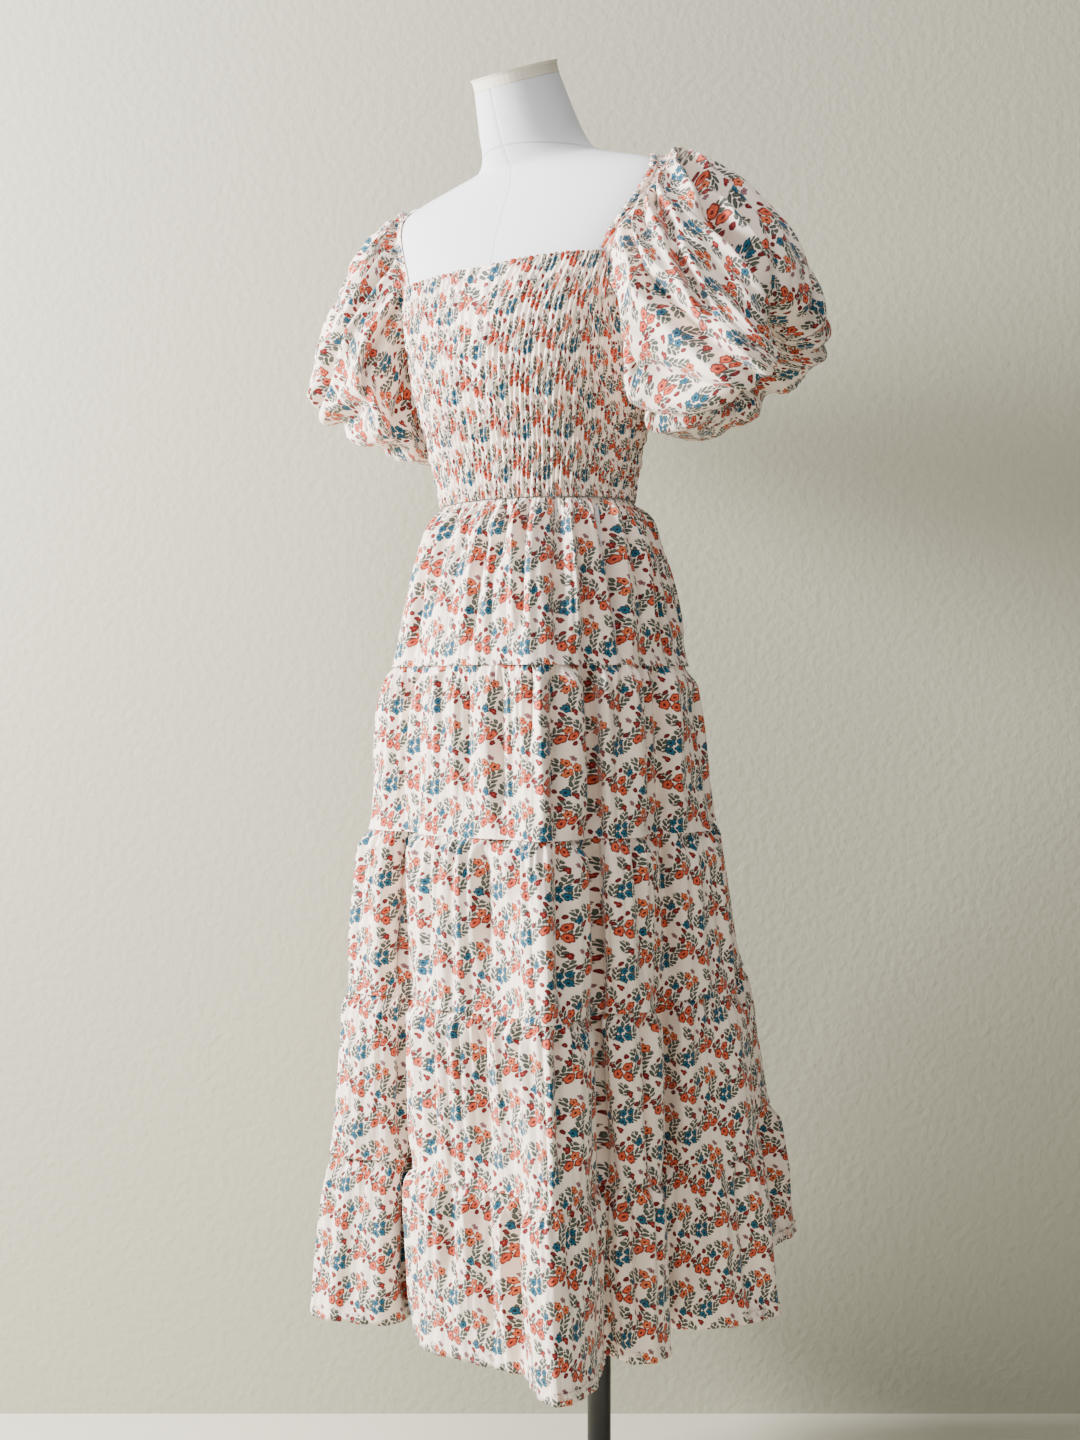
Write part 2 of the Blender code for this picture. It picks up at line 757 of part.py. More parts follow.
def make_stand(paint):
    """Round base plate, pole, and the collar that carries the form."""
    plate = closed_stack(
        [
            turn_ring(BASE_DIAMETER / 2, BASE_SIDES, 0.0),
            turn_ring(BASE_DIAMETER / 2, BASE_SIDES, BASE_THICKNESS - BASE_EDGE),
            turn_ring(BASE_DIAMETER / 2 - BASE_EDGE, BASE_SIDES, BASE_THICKNESS),
        ]
    )
    finish_object(plate, "base_plate", paint, None, 30.0)
    foot = BASE_THICKNESS + SEAM_GAP
    form_base = BODY[0].height
    collar_base = form_base - SEAM_GAP - COLLAR_HEIGHT
    pole = closed_stack(
        [
            turn_ring(POLE_DIAMETER / 2, POLE_SIDES, foot),
            turn_ring(POLE_DIAMETER / 2, POLE_SIDES, collar_base - SEAM_GAP),
        ]
    )
    finish_object(pole, "stand_pole", paint, None, 30.0)
    collar = closed_stack(
        [
            turn_ring(COLLAR_DIAMETER / 2 - BASE_EDGE, POLE_SIDES, collar_base),
            turn_ring(COLLAR_DIAMETER / 2, POLE_SIDES, collar_base + BASE_EDGE),
            turn_ring(COLLAR_DIAMETER / 2, POLE_SIDES, form_base - SEAM_GAP),
        ]
    )
    finish_object(collar, "pole_collar", paint, None, 30.0)


def main():
    clear_scene()
    cloth = make_material("printed_cotton", (0.84, 0.79, 0.74), 0.85)
    cover = make_material("form_cover", (0.80, 0.80, 0.80), 0.9)
    trim = make_material("form_trim", (0.74, 0.70, 0.62), 0.7)
    stand_paint = make_material("stand_paint", (0.012, 0.012, 0.013), 0.4, 0.2)
    dress = bpy.data.objects.new("dress_axis", None)
    dress.location = FORM_OFFSET
    bpy.context.scene.collection.objects.link(dress)
    make_bodice_panel("bodice_front", 0.0, cloth, dress)
    make_bodice_panel("bodice_back", math.pi, cloth, dress)
    make_skirt(cloth, dress)
    make_sleeves(cloth, dress)
    make_form(cover, trim, dress)
    make_stand(stand_paint)


main()
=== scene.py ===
# Peasant dress on a limbless dress form: the looks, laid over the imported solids.
import math

import bpy
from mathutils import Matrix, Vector, noise


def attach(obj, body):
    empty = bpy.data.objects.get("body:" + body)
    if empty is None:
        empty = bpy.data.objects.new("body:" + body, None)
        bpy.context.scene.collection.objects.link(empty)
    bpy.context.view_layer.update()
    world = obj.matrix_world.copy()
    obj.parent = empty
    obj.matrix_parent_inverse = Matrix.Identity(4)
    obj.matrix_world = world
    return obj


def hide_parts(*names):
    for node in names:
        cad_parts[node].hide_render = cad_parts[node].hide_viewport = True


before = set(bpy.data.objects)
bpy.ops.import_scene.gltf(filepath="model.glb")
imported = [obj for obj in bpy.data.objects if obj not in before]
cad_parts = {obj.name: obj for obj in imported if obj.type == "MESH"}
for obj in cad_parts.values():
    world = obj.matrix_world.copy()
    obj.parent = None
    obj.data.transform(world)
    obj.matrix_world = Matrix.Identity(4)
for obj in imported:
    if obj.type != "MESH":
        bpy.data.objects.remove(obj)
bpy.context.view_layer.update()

bpy.ops.object.select_all(action="DESELECT")
print("stage: frame loaded,", len(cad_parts), "nodes")

dress = {
    "x": -0.040, "y": -0.070,  # the dress stands off the pole by this much
    "hem": 0.300, "waist": 1.243, "neckline": 1.507, "underarm": 1.412,
    "tiers": 5, "cornerTurn": 52.5,
}
axisPlace = Vector((dress["x"], dress["y"], 0.0))


# Camera, light and floor
camera = {"turn": 38.0, "away": 2.0, "sideStep": 0.004, "height": 1.016, "lens": 42.5, "shiftUp": -0.0139}


def makeCamera():
    turn = math.radians(camera["turn"])
    across = Vector((math.cos(turn), math.sin(turn), 0.0))
    back = Vector((math.sin(turn), -math.cos(turn), 0.0))
    place = axisPlace + across * camera["sideStep"] + back * camera["away"]
    place.z = camera["height"]
    bpy.ops.object.camera_add(location=place, rotation=(math.radians(90), 0.0, turn))
    lens = bpy.context.object
    lens.name = "photoCamera"
    lens.data.lens = camera["lens"]
    lens.data.sensor_width = 36.0
    lens.data.shift_y = camera["shiftUp"]
    bpy.context.scene.camera = lens


lights = [
    # name, turn round the dress, distance, height, size, watts, colour
    ("windowLight", -44.0, 2.4, 1.8, 0.75, 330.0, (1.0, 0.985, 0.96)),
    ("roomFill", 60.0, 2.8, 1.5, 2.0, 14.0, (1.0, 0.97, 0.93)),
    ("topLight", 10.0, 1.2, 3.0, 1.2, 36.0, (1.0, 0.98, 0.95)),
]


def makeLights():
    for name, turn, distance, height, size, watts, colour in lights:
        angle = math.radians(turn)
        place = axisPlace + Vector((math.sin(angle) * distance, -math.cos(angle) * distance, height))
        aim = axisPlace + Vector((0.0, 0.0, 1.0)) - place
        bpy.ops.object.light_add(type="AREA", location=place, rotation=aim.to_track_quat("-Z", "Y").to_euler())
        lamp = bpy.context.object
        lamp.name = name
        lamp.data.size = size
        lamp.data.energy = watts
        lamp.data.color = colour
    world = bpy.data.worlds.new("softRoom")
    world.use_nodes = True
    world.node_tree.nodes["Background"].inputs["Color"].default_value = (0.95, 0.97, 1.0, 1.0)
    world.node_tree.nodes["Background"].inputs["Strength"].default_value = 0.15
    bpy.context.scene.world = world


def srgb(red, green, blue):
    values = []
    for part in (red, green, blue):
        share = part / 255.0
        values.append(share / 12.92 if share <= 0.04045 else ((share + 0.055) / 1.055) ** 2.4)
    return (*values, 1.0)


def newMaterial(name):
    material = bpy.data.materials.new(name)
    material.use_nodes = True
    tree = material.node_tree
    return material, tree, tree.nodes["Principled BSDF"]


def addNode(tree, kind, settings=None, values=None):
    node = tree.nodes.new(kind)
    for key, value in (settings or {}).items():
        setattr(node, key, value)
    for key, value in (values or {}).items():
        if isinstance(value, bpy.types.NodeSocket):
            tree.links.new(value, node.inputs[key])
        else:
            node.inputs[key].default_value = value
    return node


def math1(tree, operation, first, second=0.0, third=0.0, clamp=False):
    node = addNode(tree, "ShaderNodeMath", {"operation": operation, "use_clamp": clamp}, {0: first, 1: second, 2: third})
    return node.outputs[0]


def mixColour(tree, factor, first, second):
    node = addNode(tree, "ShaderNodeMix", {"data_type": "RGBA"}, {0: factor, 6: first, 7: second})
    return node.outputs[2]


def makeWallMaterial():
    # plaster that shows on its front only, so that the dress can be looked at from behind
    material, tree, shader = newMaterial("plasterWall")
    where = addNode(tree, "ShaderNodeTexCoord").outputs["Object"]
    grain = addNode(tree, "ShaderNodeTexNoise", None, {"Vector": where, "Scale": 90.0, "Detail": 3.0})
    tone = mixColour(tree, grain.outputs["Fac"], srgb(178, 176, 157), srgb(183, 181, 163))
    tree.links.new(tone, shader.inputs["Base Color"])
    shader.inputs["Roughness"].default_value = 0.9
    bump = addNode(tree, "ShaderNodeBump", None, {"Height": grain.outputs["Fac"], "Strength": 0.35, "Distance": 0.003})
    tree.links.new(bump.outputs[0], shader.inputs["Normal"])
    clear = addNode(tree, "ShaderNodeBsdfTransparent")
    behind = addNode(tree, "ShaderNodeNewGeometry").outputs["Backfacing"]
    sides = addNode(tree, "ShaderNodeMixShader", None, {0: behind, 1: shader.outputs[0], 2: clear.outputs[0]})
    tree.links.new(sides.outputs[0], tree.nodes["Material Output"].inputs["Surface"])
    return material


def makeFloor():
    bpy.ops.mesh.primitive_plane_add(size=9.0, location=(0.0, 0.0, 0.0))
    floor = bpy.context.object
    floor.name = "studioFloor"
    material, tree, shader = newMaterial("paleStudio")
    where = addNode(tree, "ShaderNodeTexCoord").outputs["Object"]
    speckle = addNode(tree, "ShaderNodeTexNoise", None, {"Vector": where, "Scale": 60.0, "Detail": 4.0})
    tone = mixColour(tree, speckle.outputs["Fac"], srgb(190, 188, 170), srgb(197, 195, 178))
    tree.links.new(tone, shader.inputs["Base Color"])
    shader.inputs["Roughness"].default_value = 0.95
    floor.data.materials.append(material)
    back = math.radians(camera["turn"])
    away = Vector((-math.sin(back), math.cos(back), 0.0))
    bpy.ops.mesh.primitive_plane_add(size=9.0, rotation=(math.radians(90), 0.0, back))
    wall = bpy.context.object
    wall.name = "studioWall"
    wall.location = axisPlace + away * 0.42 + Vector((0.0, 0.0, 4.0))
    wall.data.materials.append(makeWallMaterial())
    for piece in (floor, wall):
        piece.select_set(False)


makeCamera()
makeLights()
makeFloor()
print("stage: camera, lights and floor")


# Shapes that the solids are made from, repeated here
formRows = [
    # height, half width, front, back, shift, squareness, tilt
    (0.950, 0.138, 0.096, 0.108, 0.000, 2.2, 0.00),
    (1.000, 0.151, 0.103, 0.117, 0.000, 2.2, 0.00),
    (1.070, 0.154, 0.105, 0.117, 0.000, 2.2, 0.00),
    (1.160, 0.137, 0.096, 0.101, 0.000, 2.0, 0.00),
    (1.243, 0.121, 0.090, 0.088, 0.000, 2.0, 0.00),
    (1.287, 0.126, 0.096, 0.088, 0.000, 2.1, 0.00),
    (1.331, 0.135, 0.105, 0.091, 0.000, 2.2, 0.00),
    (1.375, 0.144, 0.114, 0.095, 0.000, 2.3, 0.00),
    (1.419, 0.153, 0.115, 0.100, 0.000, 2.4, 0.00),
    (1.463, 0.162, 0.104, 0.106, -0.003, 2.6, 0.00),
    (1.507, 0.172, 0.081, 0.112, -0.007, 2.8, 0.00),
    (1.545, 0.184, 0.066, 0.108, -0.011, 2.8, 0.00),
    (1.573, 0.194, 0.053, 0.098, -0.013, 2.6, 0.00),
    (1.595, 0.195, 0.043, 0.084, -0.015, 2.4, 0.02),
    (1.611, 0.186, 0.037, 0.070, -0.015, 2.2, 0.06),
    (1.623, 0.162, 0.037, 0.062, -0.013, 2.0, 0.12),
    (1.638, 0.116, 0.040, 0.058, -0.010, 2.0, 0.26),
    (1.651, 0.078, 0.044, 0.058, -0.006, 2.0, 0.38),
    (1.668, 0.064, 0.050, 0.056, -0.008, 2.0, 0.42),
    (1.697, 0.057, 0.052, 0.054, -0.019, 2.0, 0.42),
    (1.747, 0.049, 0.049, 0.049, -0.037, 2.0, 0.42),
]


def rowAt(rows, height):
    last = len(rows) - 1
    span = 0
    while span < last - 1 and height > rows[span + 1][0]:
        span += 1
    low, high = rows[span], rows[span + 1]
    before, after = rows[max(span - 1, 0)], rows[min(span + 2, last)]
    length = high[0] - low[0]
    part = min(max((height - low[0]) / length, 0.0), 1.0)
    cube, square = part**3, part**2
    values = []
    for k in range(1, len(low)):
        startSlope = (high[k] - before[k]) / (high[0] - before[0])
        endSlope = (after[k] - low[k]) / (after[0] - low[0])
        values.append(
            (2 * cube - 3 * square + 1) * low[k] + (cube - 2 * square + part) * length * startSlope
            + (3 * square - 2 * cube) * high[k] + (cube - square) * length * endSlope
        )
    return values


def formPoint(turn, height):
    halfWidth, front, back, shift, square, tilt = rowAt(formRows, height)
    power = 2.0 / square
    along, across = math.cos(turn), math.sin(turn)
    along = math.copysign(abs(along) ** power, along)
    across = math.copysign(abs(across) ** power, across)
    y = shift - (front if along > 0 else back) * along
    return Vector((halfWidth * across, y, height + tilt * y))


def formNormal(turn, height):
    around = formPoint(turn + 0.02, height) - formPoint(turn - 0.02, height)
    up = formPoint(turn, height + 0.002) - formPoint(turn, height - 0.002)
    return around.cross(up).normalized()


def smoothStep(low, high, value):
    part = min(max((value - low) / (high - low), 0.0), 1.0)
    return part * part * (3.0 - 2.0 * part)


def spline(before, start, end, after, part):
    return 0.5 * (
        2 * start + (end - before) * part
        + (2 * before - 5 * start + 4 * end - after) * part**2
        + (3 * start - before - 3 * end + after) * part**3
    )


def clothMesh(name, rows, closed, across, along, material):
    # rows of points, bottom row first; across and along are the cloth's own metres
    columns = len(rows[0])
    spans = columns if closed else columns - 1
    faces, places = [], []
    for r in range(len(rows) - 1):
        for k in range(spans):
            after = (k + 1) % columns
            faces.append((r * columns + k, r * columns + after, (r + 1) * columns + after, (r + 1) * columns + k))
            for column, row in ((k, r), (k + 1, r), (k + 1, r + 1), (k, r + 1)):
                places += [across[column], along[row]]
    mesh = bpy.data.meshes.new(name)
    mesh.from_pydata([point + axisPlace for row in rows for point in row], [], faces)
    mesh.uv_layers.new(name="clothMetres").data.foreach_set("uv", places)
    mesh.shade_smooth()
    mesh.materials.append(material)
    piece = bpy.data.objects.new(name, mesh)
    bpy.context.scene.collection.objects.link(piece)
    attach(piece, "root")
    return piece


def creased(value):
    # rounded puffs with sharp valleys between them
    return abs(value) * 2.0 - 0.55


# Weave, shared by the printed cotton and the form's cover
def makeWeaveGroup():
    group = bpy.data.node_groups.new("wovenThreads", "ShaderNodeTree")
    group.interface.new_socket("Vector", in_out="INPUT", socket_type="NodeSocketVector")
    group.interface.new_socket("Thread Scale", in_out="INPUT", socket_type="NodeSocketFloat")
    group.interface.new_socket("Height", in_out="OUTPUT", socket_type="NodeSocketFloat")
    start = addNode(group, "NodeGroupInput")
    heights = []
    for direction in ("X", "Y"):
        wave = addNode(group, "ShaderNodeTexWave", {"bands_direction": direction},
                       {"Vector": start.outputs[0], "Scale": start.outputs[1], "Distortion": 0.6, "Detail": 1.0})
        heights.append(wave.outputs["Fac"])
    crossed = math1(group, "MAXIMUM", heights[0], heights[1])
    slub = addNode(group, "ShaderNodeTexNoise", None, {"Vector": start.outputs[0], "Scale": 900.0, "Detail": 2.0})
    end = addNode(group, "NodeGroupOutput")
    group.links.new(math1(group, "MULTIPLY_ADD", slub.outputs["Fac"], 0.5, crossed), end.inputs[0])
    return group


weaveGroup = makeWeaveGroup()

# The print: one repeat, charted in millimetres, set half a drop lower in each next column
printRepeat = {"width": 60.0, "height": 90.0, "drop": 0.5, "sway": 4.0}
motifKinds = ["rose", "blossom", "blueFlower", "berry", "bud", "mauveFlower"]
motifLooks = {
    # petal, outline, centre, depth between petals, petals, centre size
    "rose": (srgb(220, 92, 60), srgb(96, 18, 20), srgb(92, 14, 18), 0.18, 5, 0.30),
    "blossom": (srgb(230, 116, 70), srgb(124, 28, 22), srgb(76, 14, 18), 0.34, 5, 0.30),
    "blueFlower": (srgb(24, 100, 130), srgb(8, 40, 58), srgb(6, 22, 38), 0.30, 5, 0.30),
    "berry": (srgb(116, 20, 28), srgb(70, 8, 16), srgb(150, 56, 56), 0.02, 3, 0.20),
    "bud": (srgb(138, 24, 30), srgb(74, 10, 18), srgb(180, 84, 66), 0.42, 3, 0.22),
    "mauveFlower": (srgb(150, 104, 112), srgb(98, 56, 66), srgb(70, 34, 44), 0.34, 5, 0.24),
}
motifChart = [
    # kind, across, up, radius, turn in degrees
    ("rose", 10, 12, 6.4, 0), ("rose", 21, 9, 6.2, 40), ("rose", 18, 20, 5.8, 80),
    ("blueFlower", 25, 28, 5.0, 10), ("bud", 32, 24, 4.4, 60),
    ("berry", 6, 26, 3.0, 0), ("berry", 12, 31, 3.0, 0), ("berry", 2, 20, 2.8, 0),
    ("blossom", 42, 29, 5.8, 10), ("blossom", 50, 35, 5.6, 45), ("blossom", 41, 40, 5.2, 30), ("mauveFlower", 50, 45, 3.6, 0),
    ("blueFlower", 12, 50, 5.3, 15), ("blueFlower", 21, 52, 5.0, 50), ("blueFlower", 14, 59, 4.8, 85),
    ("blueFlower", 22, 61, 4.2, 30), ("berry", 7, 67, 2.9, 0), ("berry", 25, 69, 2.9, 0),
    ("rose", 40, 65, 6.4, 20), ("rose", 50, 69, 6.0, 55), ("blossom", 42, 75, 5.2, 25),
    ("berry", 55, 61, 3.0, 0), ("berry", 59, 67, 2.8, 0), ("bud", 34, 81, 4.4, 80),
    ("blueFlower", 47, 8, 5.2, 40), ("bud", 55, 5, 4.4, 90), ("berry", 41, 2, 2.9, 0), ("berry", 38, 9, 2.9, 0),
    ("bud", 4, 41, 4.2, 110), ("mauveFlower", 27, 85, 3.4, 0), ("bud", 15, 80, 4.3, 70),
]
sprigChart = [
    # across, up, half length, turn in degrees
    (6, 20, 8.0, -30), (28, 15, 8.0, 40), (21, 33, 7.5, -15), (52, 26, 8.0, 20), (34, 37, 8.5, -20),
    (6, 56, 8.5, 10), (29, 57, 8.0, 45), (17, 69, 8.0, -10), (32, 71, 8.0, 30), (52, 79, 8.5, -20),
    (53, 15, 8.5, 5), (41, 85, 7.5, 40), (10, 85, 8.0, 25),
]


def makeNearerGroup():
    # keeps whichever of two motifs is nearer, with its own place and looks
    group = bpy.data.node_groups.new("nearerMotif", "ShaderNodeTree")
    for name, kind in (("Vector", "Vector"), ("Centre", "Vector"), ("Looks", "Vector"), ("Inverse Radius", "Float"),
                       ("Best Vector", "Vector"), ("Best Looks", "Vector"), ("Best Distance", "Float")):
        group.interface.new_socket(name, in_out="INPUT", socket_type="NodeSocket" + kind)
    for name, kind in (("Vector", "Vector"), ("Looks", "Vector"), ("Distance", "Float")):
        group.interface.new_socket(name, in_out="OUTPUT", socket_type="NodeSocket" + kind)
    start = addNode(group, "NodeGroupInput")
    half = Vector((1000.0, printRepeat["height"] / 2, 1.0))
    shifted = addNode(group, "ShaderNodeVectorMath", {"operation": "SUBTRACT"}, {0: start.outputs[0], 1: start.outputs[1]})
    near = addNode(group, "ShaderNodeVectorMath", {"operation": "WRAP"}, {0: shifted.outputs[0], 1: half, 2: -half})
    length = addNode(group, "ShaderNodeVectorMath", {"operation": "LENGTH"}, {0: near.outputs[0]})
    distance = math1(group, "MULTIPLY", length.outputs["Value"], start.outputs[3])
    closer = math1(group, "LESS_THAN", distance, start.outputs[6])
    end = addNode(group, "NodeGroupOutput")
    for k, (old, new) in enumerate(((start.outputs[4], near.outputs[0]), (start.outputs[5], start.outputs[2]))):
        mix = addNode(group, "ShaderNodeMix", {"data_type": "VECTOR"}, {0: closer, 4: old, 5: new})
        group.links.new(mix.outputs[1], end.inputs[k])
    group.links.new(math1(group, "MINIMUM", distance, start.outputs[6]), end.inputs[2])
    return group


nearerGroup = makeNearerGroup()


def nearestOf(tree, vector, chart):
    # chart rows are centre, looks and radius; gives the nearest one's own vector, looks and distance
    best = None
    for centre, looks, radius in chart:
        step = addNode(tree, "ShaderNodeGroup", {"node_tree": nearerGroup}, {
            "Vector": vector, "Centre": (*centre, 0.0), "Looks": looks, "Inverse Radius": 1.0 / radius,
        })
        if best:
            for name in ("Vector", "Looks", "Distance"):
                tree.links.new(best.outputs[name], step.inputs["Best " + name])
        else:
            step.inputs["Best Distance"].default_value = 99.0
        best = step
    return best


def stepRamp(tree, factor, colours):
    ramp = addNode(tree, "ShaderNodeValToRGB", None, {0: factor})
    ramp.color_ramp.interpolation = "CONSTANT"
    marks = ramp.color_ramp.elements
    while len(marks) < len(colours):
        marks.new(1.0)
    for k, colour in enumerate(colours):
        marks[k].position = k / len(colours)
        marks[k].color = colour
    return ramp.outputs["Color"]


def makePrintGroup():
    group = bpy.data.node_groups.new("floralPrint", "ShaderNodeTree")
    group.interface.new_socket("Vector", in_out="INPUT", socket_type="NodeSocketVector")
    group.interface.new_socket("Ground", in_out="INPUT", socket_type="NodeSocketColor")
    group.interface.new_socket("Color", in_out="OUTPUT", socket_type="NodeSocketColor")
    group.interface.new_socket("Ink", in_out="OUTPUT", socket_type="NodeSocketFloat")
    start = addNode(group, "NodeGroupInput")
    inMm = addNode(group, "ShaderNodeVectorMath", {"operation": "SCALE"}, {0: start.outputs[0], "Scale": 1000.0})
    wobble = addNode(group, "ShaderNodeTexNoise", None, {"Vector": inMm.outputs[0], "Scale": 0.35, "Detail": 1.0})
    bend = addNode(group, "ShaderNodeVectorMath", {"operation": "MULTIPLY_ADD"}, {
        0: wobble.outputs["Color"], 1: (1.6, 1.6, 0.0), 2: inMm.outputs[0]})
    parts = addNode(group, "ShaderNodeSeparateXYZ", None, {0: bend.outputs[0]})
    sway = math1(group, "SINE", math1(group, "MULTIPLY", parts.outputs["Y"], 4 * math.pi / printRepeat["height"]))
    swayed = math1(group, "MULTIPLY_ADD", sway, printRepeat["sway"], parts.outputs["X"])
    column = math1(group, "FLOOR", math1(group, "DIVIDE", swayed, printRepeat["width"]))
    across = math1(group, "MULTIPLY_ADD", column, -printRepeat["width"], swayed)
    up = math1(group, "MULTIPLY_ADD", column, printRepeat["height"] * printRepeat["drop"], parts.outputs["Y"])
    tile = addNode(group, "ShaderNodeCombineXYZ", None, {"X": across, "Y": up}).outputs[0]

    # leaves
    sprigs = [((x, y), (math.radians(turn), halfLength, 0.0), halfLength) for x, y, halfLength, turn in sprigChart]
    sprig = nearestOf(group, tile, sprigs)
    sprigLooks = addNode(group, "ShaderNodeSeparateXYZ", None, {0: sprig.outputs["Looks"]})
    turned = addNode(group, "ShaderNodeVectorRotate", {"rotation_type": "Z_AXIS"}, {
        "Vector": sprig.outputs["Vector"], "Angle": sprigLooks.outputs["X"]})
    place = addNode(group, "ShaderNodeSeparateXYZ", None, {0: turned.outputs[0]})
    stemX = math1(group, "MULTIPLY_ADD", math1(group, "MULTIPLY", place.outputs["Y"], place.outputs["Y"]), 0.035, place.outputs["X"])
    side = math1(group, "ABSOLUTE", stemX)
    halfStep = math1(group, "MULTIPLY_ADD", math1(group, "LESS_THAN", stemX, 0.0), 2.9, place.outputs["Y"])
    along = math1(group, "MULTIPLY_ADD", side, -0.7, halfStep)
    leafUp = math1(group, "SUBTRACT", math1(group, "WRAP", along, 5.8, 0.0), 2.9)
    leafOut = math1(group, "SUBTRACT", side, 2.8)
    leafDistance = math1(group, "ADD", math1(group, "POWER", math1(group, "MULTIPLY", leafUp, 0.38), 2.0),
                         math1(group, "POWER", math1(group, "MULTIPLY", leafOut, 0.33), 2.0))
    leaf = math1(group, "MULTIPLY", math1(group, "SUBTRACT", 1.0, leafDistance), 4.0, clamp=True)
    stem = math1(group, "SUBTRACT", 1.5, math1(group, "MULTIPLY", side, 3.6), clamp=True)
    inside = math1(group, "MULTIPLY", math1(group, "SUBTRACT", 1.0, sprig.outputs["Distance"]), 6.0, clamp=True)
    leafInk = math1(group, "MULTIPLY", math1(group, "MAXIMUM", leaf, stem), inside)
    leafColour = mixColour(group, math1(group, "MULTIPLY", leafDistance, 2.2, clamp=True), srgb(56, 78, 64), srgb(20, 38, 38))
    colour = mixColour(group, math1(group, "MULTIPLY", leafInk, 0.95), start.outputs[1], leafColour)

    # flowers, buds and berries
    share = 1.0 / len(motifKinds)
    motifs = []
    for kind, x, y, radius, turn in motifChart:
        motifs.append(((x, y), (motifKinds.index(kind) * share + share / 2, math.radians(turn), 0.0), radius))
    motif = nearestOf(group, tile, motifs)
    looks = addNode(group, "ShaderNodeSeparateXYZ", None, {0: motif.outputs["Looks"]})
    kindShare = looks.outputs["X"]
    table = [motifLooks[kind] for kind in motifKinds]
    petalColour = stepRamp(group, kindShare, [row[0] for row in table])
    lineColour = stepRamp(group, kindShare, [row[1] for row in table])
    heartColour = stepRamp(group, kindShare, [row[2] for row in table])
    shapes = stepRamp(group, kindShare, [(row[3], row[4] / 10.0, row[5], 1.0) for row in table])
    shape = addNode(group, "ShaderNodeSeparateColor", None, {0: shapes})
    flower = addNode(group, "ShaderNodeVectorRotate", {"rotation_type": "Z_AXIS"}, {
        "Vector": motif.outputs["Vector"], "Angle": looks.outputs["Y"]})
    petal = addNode(group, "ShaderNodeSeparateXYZ", None, {0: flower.outputs[0]})
    angle = math1(group, "ARCTAN2", petal.outputs["Y"], petal.outputs["X"])
    lobes = math1(group, "ABSOLUTE", math1(group, "COSINE", math1(group, "MULTIPLY", angle, math1(group, "MULTIPLY", shape.outputs[1], 5.0))))
    notch = math1(group, "MULTIPLY", math1(group, "SUBTRACT", 1.0, math1(group, "POWER", lobes, 0.7)), shape.outputs[0])
    outer = math1(group, "SUBTRACT", 1.0, notch)
    inner = math1(group, "SUBTRACT", outer, motif.outputs["Distance"])
    ink = math1(group, "MULTIPLY", inner, 9.0, clamp=True)
    swirl = math1(group, "SINE", math1(group, "MULTIPLY_ADD", motif.outputs["Distance"], 15.0, math1(group, "MULTIPLY", angle, 2.0)))
    streak = math1(group, "MULTIPLY", math1(group, "MULTIPLY_ADD", swirl, 0.5, 0.1, clamp=True), 0.75)
    petals = mixColour(group, streak, petalColour, lineColour)
    rim = math1(group, "SUBTRACT", 1.0, math1(group, "MULTIPLY", math1(group, "SUBTRACT", inner, 0.19), 6.0, clamp=True))
    rimmed = mixColour(group, rim, petals, lineColour)
    heart = math1(group, "MULTIPLY", math1(group, "SUBTRACT", shape.outputs[2], motif.outputs["Distance"]), 9.0, clamp=True)
    hearted = mixColour(group, heart, rimmed, heartColour)
    final = mixColour(group, ink, colour, hearted)
    end = addNode(group, "NodeGroupOutput")
    group.links.new(final, end.inputs[0])
    group.links.new(math1(group, "MAXIMUM", ink, leafInk), end.inputs[1])
    return group


printGroup = makePrintGroup()
form = {"columns": 144, "rows": 150, "inset": 0.0017, "seamDepth": 0.0009, "neckSeam": 1.652}
cotton = {
    "ground": srgb(252, 234, 220), "roughness": 0.88, "sheen": 0.25, "threads": 340.0,
    "crinkleAcross": 190.0, "crinkleAlong": 22.0,
}


def makeCotton():
    material, tree, shader = newMaterial("printedCotton")
    uv = addNode(tree, "ShaderNodeUVMap", {"uv_map": "clothMetres"}).outputs[0]
    printed = addNode(tree, "ShaderNodeGroup", {"node_tree": printGroup}, {"Vector": uv, "Ground": cotton["ground"]})
    reverse = addNode(tree, "ShaderNodeNewGeometry").outputs["Backfacing"]
    faded = mixColour(tree, 0.55, printed.outputs["Color"], cotton["ground"])
    colour = mixColour(tree, reverse, printed.outputs["Color"], faded)
    tree.links.new(colour, shader.inputs["Base Color"])
    shader.inputs["Roughness"].default_value = cotton["roughness"]
    shader.inputs["Sheen Weight"].default_value = cotton["sheen"]
    shader.inputs["Sheen Roughness"].default_value = 0.5
    shader.inputs["Specular IOR Level"].default_value = 0.25
    weave = addNode(tree, "ShaderNodeGroup", {"node_tree": weaveGroup}, {"Vector": uv, "Thread Scale": cotton["threads"]})
    stretched = addNode(tree, "ShaderNodeMapping", None, {
        "Vector": uv, "Scale": (cotton["crinkleAcross"], cotton["crinkleAlong"], 1.0)})
    crinkle = addNode(tree, "ShaderNodeTexNoise", None, {"Vector": stretched.outputs[0], "Scale": 1.0, "Detail": 3.0})
    coarse = addNode(tree, "ShaderNodeBump", None, {"Height": crinkle.outputs["Fac"], "Strength": 0.35, "Distance": 0.003})
    fine = addNode(tree, "ShaderNodeBump", None, {
        "Height": weave.outputs["Height"], "Strength": 0.25, "Distance": 0.0003, "Normal": coarse.outputs[0]})
    tree.links.new(fine.outputs[0], shader.inputs["Normal"])
    return material


